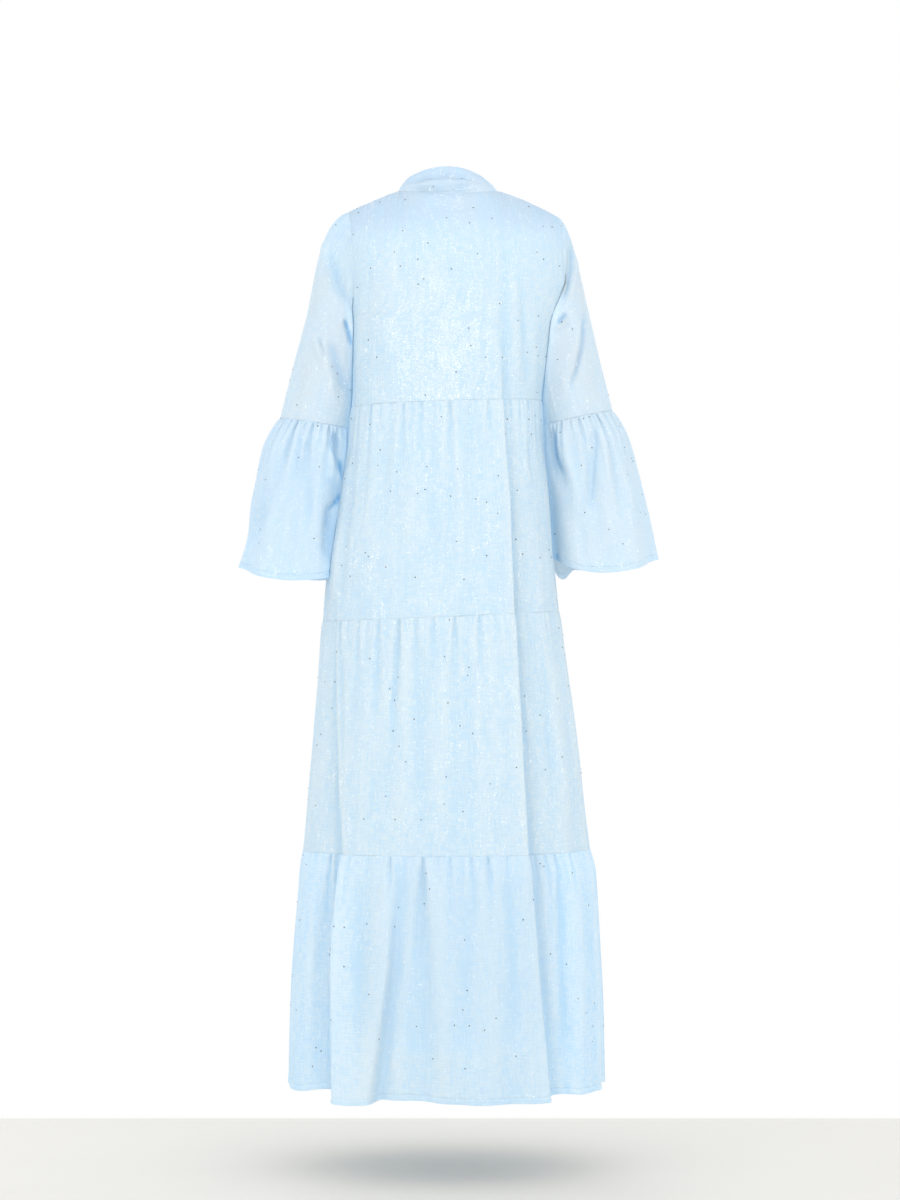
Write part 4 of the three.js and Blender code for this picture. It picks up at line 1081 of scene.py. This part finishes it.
TIER_CREASES = {
    "upper": [
        (-2.2, 8, 1, 156, -420, 168, -510, 176, -600, 178, -676),
        (2.4, 6, 1, 150, -470, 160, -540, 168, -610, 171, -676),
        (1.6, 10, 1, 96, -380, 100, -470, 104, -600), (-1.6, 12, 1, 52, -380, 56, -480, 58, -660),
        (1.8, 9, 1, 20, -380, 22, -470, 24, -640), (-1.4, 12, 1, -16, -380, -20, -500, -22, -660),
        (1.5, 9, 1, -50, -390, -54, -480, -58, -640), (1.6, 7, 1, -128, -380, -134, -480, -140, -660),
        (-1.4, 8, 1, -150, -400, -156, -500, -164, -660),
        (-1.8, 10, -1, -120, -400, -128, -520, -134, -660), (2, 8, -1, -70, -390, -74, -500, -80, -650),
        (-1.4, 12, -1, -20, -400, -16, -520, -18, -660), (1.6, 9, -1, 44, -390, 48, -480, 52, -620),
        (2.2, 8, -1, 112, -400, 120, -520, 128, -660),
    ],
    "middle": [
        (2.4, 5, 1, 168, -700, 168, -790, 168, -935, 170, -1020),
        (2.2, 4.5, 1, 78, -690, 82, -760, 89, -850), (2.6, 13, 1, 43, -700, 43, -860, 43, -1034),
        (-1.8, 13, 1, 66, -740, 70, -880, 74, -1040), (-1.8, 14, 1, 12, -720, 10, -880, 8, -1040),
        (1.8, 10, 1, -30, -720, -34, -860, -38, -1036), (-1.4, 10, 1, 120, -760, 128, -900, 134, -1040),
        (1.5, 8, 1, -148, -720, -158, -860, -170, -1036), (-1.5, 9, 1, -168, -740, -180, -880, -192, -1036),
        (2.2, 10, -1, -150, -720, -160, -860, -170, -1030),
        (-1.8, 13, -1, -96, -720, -100, -880, -108, -1030), (1.8, 10, -1, -36, -710, -40, -860, -42, -1000),
        (-1.6, 13, -1, 30, -720, 34, -880, 30, -1030), (2.4, 9, -1, 92, -710, 98, -860, 104, -1020),
        (-1.6, 10, -1, 150, -740, 160, -900, 172, -1030),
    ],
    "hem": [
        (3.2, 8, 1, 39, -1056, 41, -1090, 46, -1150, 50, -1230),
        (-2, 14, 1, 16, -1070, 12, -1200, 8, -1400), (2, 12, 1, -24, -1070, -28, -1200, -30, -1400),
        (-1.8, 12, 1, -62, -1080, -66, -1220, -70, -1400),
        (1.8, 9, 1, -94, -1080, -100, -1200, -108, -1380), (2, 8, 1, -172, -1070, -178, -1200, -184, -1390),
        (-1.8, 10, 1, -198, -1080, -206, -1220, -212, -1400),
        (1.6, 9, 1, 140, -1080, 138, -1200, 142, -1400), (-1.6, 10, 1, 206, -1080, 216, -1220, 220, -1400),
        (2.4, 10, -1, -190, -1080, -198, -1220, -204, -1390),
        (-2, 13, -1, -120, -1070, -126, -1220, -130, -1400),
        (2.2, 12, -1, -60, -1080, -66, -1200, -72, -1380), (-1.8, 13, -1, 6, -1070, 10, -1220, 8, -1400),
        (2.6, 10, -1, 66, -1070, 72, -1200, 80, -1390), (-2, 12, -1, 136, -1080, 146, -1220, 152, -1400),
    ],
}
# Name and lower seam, the seam above, length, seed, glitter, and the flat cut of its back and of its front.
TIERS = [
    ("upper", "bodice", 338, 51, 0.24, (0.62, 0.34)), ("middle", "upper", 371, 52, 0.2, (0.78, 0.38)),
    ("hem", "middle", 381, 53, 0.05, (0.92, 0.40)),
]
HALF_COLUMNS = 238
LINING_END = -1348


def hem_tier_marks(points, angle):
    """The lowest tier: paler where no lining lies behind it, with painted light on its near lobe and sides.
    """
    edge = LINING_END + 5 * np.sin(np.radians(angle * 7 + 40)) + 3 * np.sin(np.radians(angle * 17))
    aside = np.abs(points[..., 0])
    unlined = 1 - ease((points[..., 2] - edge) / 16 + 0.5)
    shows = unlined * (0.3 + 0.7 * bell((points[..., 0] - 38) / 110))
    # less deep blue on the near lobe and towards the sides: painted light
    deep = (0.31 - 0.27 * bell(turn_between(angle, 56) / 13)) * (1 - shows)
    deep = deep * (1 - 0.6 * ease((aside - 140) / 60))
    return {"deep": deep, "bright": 0.12 + 0.75 * ease((aside - 120) / 80), "grey": 0.2 * shows}


angle = np.linspace(0, 360, 2 * HALF_COLUMNS + 1)
for name, above, length, seed, glint, cut in TIERS:
    is_hem = name == "hem"
    down = spaced(length, hem=is_hem, step=6)
    share = (down / length)[:, None]
    z = lerp(seam_height(above, angle), seam_height(name, angle), share)
    base = body(angle[None], z)
    normal = normals(base, True)
    normal[:, 0] = normal[:, -1] = (1, 0, 0)
    per_degree = np.radians(1) * np.interp((z[0, 0] + z[-1, 0]) / 2, [-1250, -500], [215, 147])
    across = angle * per_degree
    top, bottom = away_from_edge(base, 0), away_from_edge(base, 0, True)
    by_hand = TIER_GATHERS[name]
    table = by_hand + small_gathers(seed, per_degree, [g[0] for g in by_hand])
    side_seam = np.minimum(np.abs(turn_between(angle, 0)), np.abs(turn_between(angle, 180))) * per_degree
    relief = creases(base, normal, TIER_CREASES[name]) * ease(top / 30) + groove(side_seam, 0.8, 1.8)
    relief += crinkles(across, down, seed + 8, True) + groove(top, 0.5, 1.2) + swell(top, 1.6, 24)
    relief += gathers(angle, top, per_degree, table)
    if is_hem:
        relief += hem_relief(bottom, across, 3.3)
    outer, down = tucked(base + normal * relief[..., None], normal, down)
    thickness = with_allowance(CLOTH * (1 + hem_band(bottom)) if is_hem else thinned(bottom), CLOTH)
    marks = {"deep": np.full(thickness.shape, 0.05)}
    if is_hem:
        marks = hem_tier_marks(outer, angle)
        marks["hem"] = with_allowance(hem_band(bottom), 0)
    for facing, columns in (("back", slice(0, HALF_COLUMNS + 1)), ("front", slice(HALF_COLUMNS, None))):
        panel = outer[:, columns].copy()
        panel[:, [0, -1], 1] += 0.1 if facing == "back" else -0.1
        tier_shell = shell(
            panel, thickness[:, columns], across[columns], down, glint=glint, near=beside_sleeves(panel),
            **{mark: value[:, columns] for mark, value in marks.items()},
        )
        node = f"tier_{name}_{facing}"
        piece = make_piece(f"{node}_cloth", [tier_shell], glitter_cotton, [node])
        surfaces[node] = panel[SEAM_ROWS:-HEM_ROWS]

# ---- lining ----
# Plain soft cotton inside the skirt, which ends above the hem. Only its lowest stretch shows through, so it
# hangs from the seam above the lowest tier.
LINING_TOP_DROP, LINING_INSET = 3, 40
LINING_WALL = 0.6
LINING_LENGTH, LINING_ROUND = 314, 1224
LINING_LIGHT, LINING_DEEP = (0.84, 0.93, 0.97), (0.76, 0.88, 0.96)


def lining(angle, v):
    """Points of the lining, which stays inside the deepest part of every fold near it."""
    z = lerp(seam_height("middle", angle) - LINING_TOP_DROP, LINING_END, v)
    deepest = np.min([folds(angle + turn, z)[0] for turn in (-6, -3, 0, 3, 6)], axis=0)
    inset = lerp(5, LINING_INSET, v**0.8)
    return body(angle, z, deepest * (1 - v**0.5) - folds(angle, z, False)[0] - inset, False)


lining_cotton = dyed_cotton("lining_cotton", LINING_LIGHT, LINING_DEEP, GREY_BLUE, False)
angles = ring_angles(180)
down = spaced(LINING_LENGTH, dense_top=False, hem=True, step=9)
share = (down / LINING_LENGTH)[:, None]
base = lining(*np.broadcast_arrays(angles, share))
normal = normals(base, True)
across = angles * LINING_ROUND / 360
relief = crinkles(across, down, 61, True, 1.2) + hem_relief(away_from_edge(base, 0, True))
relief += 1.5 * np.sin(np.radians(angles) * 13) * share
wall = np.full(relief.shape, LINING_WALL)
lining_shell = shell(base + normal * relief[..., None], wall, across, down, True)
lining_piece = make_piece("lining_cloth", [lining_shell], lining_cotton, ["lining"])

# ---- sequins ----
# Small round dark foil sequins, sewn sparsely and unevenly over all the outer cloth. Each lies flat on it,
# with a slightly domed face.
SEQUIN_RADIUS, SEQUIN_THICKNESS, SEQUIN_SIDES = 1.0, 0.3, 8
SEQUIN_RISE = 0.4  # of its middle above the cloth, and of its domed face above its rim
FOIL_DARK, FOIL_LIGHT = (0.05, 0.075, 0.10, 1), (0.12, 0.16, 0.20, 1)
SEQUINS = {
    "bodice_back": 44, "bodice_front_left": 20, "bodice_front_right": 20, "collar": 6, "sleeve_left": 22,
    "sleeve_right": 22, "flounce_left": 26, "flounce_right": 26, "tier_upper_back": 46,
    "tier_upper_front": 44, "tier_middle_back": 52, "tier_middle_front": 50, "tier_hem_back": 56,
    "tier_hem_front": 54,
}
sequin_foil, wire = new_material("sequin_foil")
sheen_noise = wire.node("TexNoise", {}, {"Scale": 900.0, "Detail": 1.0}).between(0.35, 0.65)
foil_colour = sheen_noise.blend(FOIL_DARK, FOIL_LIGHT)
foil = wire.node("BsdfPrincipled", {}, {"Base Color": foil_colour, "Metallic": 0.3, "Roughness": 0.4})
wire.node("OutputMaterial", {}, {"Surface": foil})

draw = np.random.default_rng(77)
bpy.ops.mesh.primitive_cylinder_add(
    vertices=SEQUIN_SIDES, radius=SEQUIN_RADIUS * MM, depth=SEQUIN_THICKNESS * MM, end_fill_type="TRIFAN",
)
model = bpy.context.object
model.data.materials.append(sequin_foil)
for vertex in model.data.vertices:
    if vertex.co.xy.length < 0.1 * MM and vertex.co.z > 0:
        vertex.co.z += SEQUIN_RISE * MM
copies = []
for name, count in SEQUINS.items():
    grid = surfaces[name]
    normal = normals(grid, name.startswith(("sleeve", "flounce")))
    size = np.linalg.norm(np.cross(np.diff(grid, axis=0)[:, :-1], np.diff(grid, axis=1)[:-1]), axis=-1)
    places = draw.choice(size.size, count, replace=False, p=size.ravel() / size.sum())
    for place in places:
        r, c = divmod(int(place), size.shape[1])
        up = Vector(normal[r, c])
        side = up.cross((0.3, 0.2, 0.93)).normalized()
        scale = draw.uniform(0.85, 1.15)
        turned = Matrix((side * scale, up.cross(side) * scale, up)).transposed().to_4x4()
        turned.translation = (Vector(grid[r, c]) + up * SEQUIN_RISE) * MM
        copy = model.copy()
        copy.matrix_world = turned
        bpy.context.collection.objects.link(copy)
        copies.append(copy)
bpy.ops.object.select_all(action="DESELECT")
for copy in copies:
    copy.select_set(True)
copies[0].data = model.data.copy()
bpy.context.view_layer.objects.active = copies[0]
bpy.data.objects.remove(model)
bpy.ops.object.join()
bpy.ops.object.transform_apply(location=True, rotation=True, scale=True)
sequins = bpy.context.object
sequins.name = "sequins"
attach(sequins, "root")
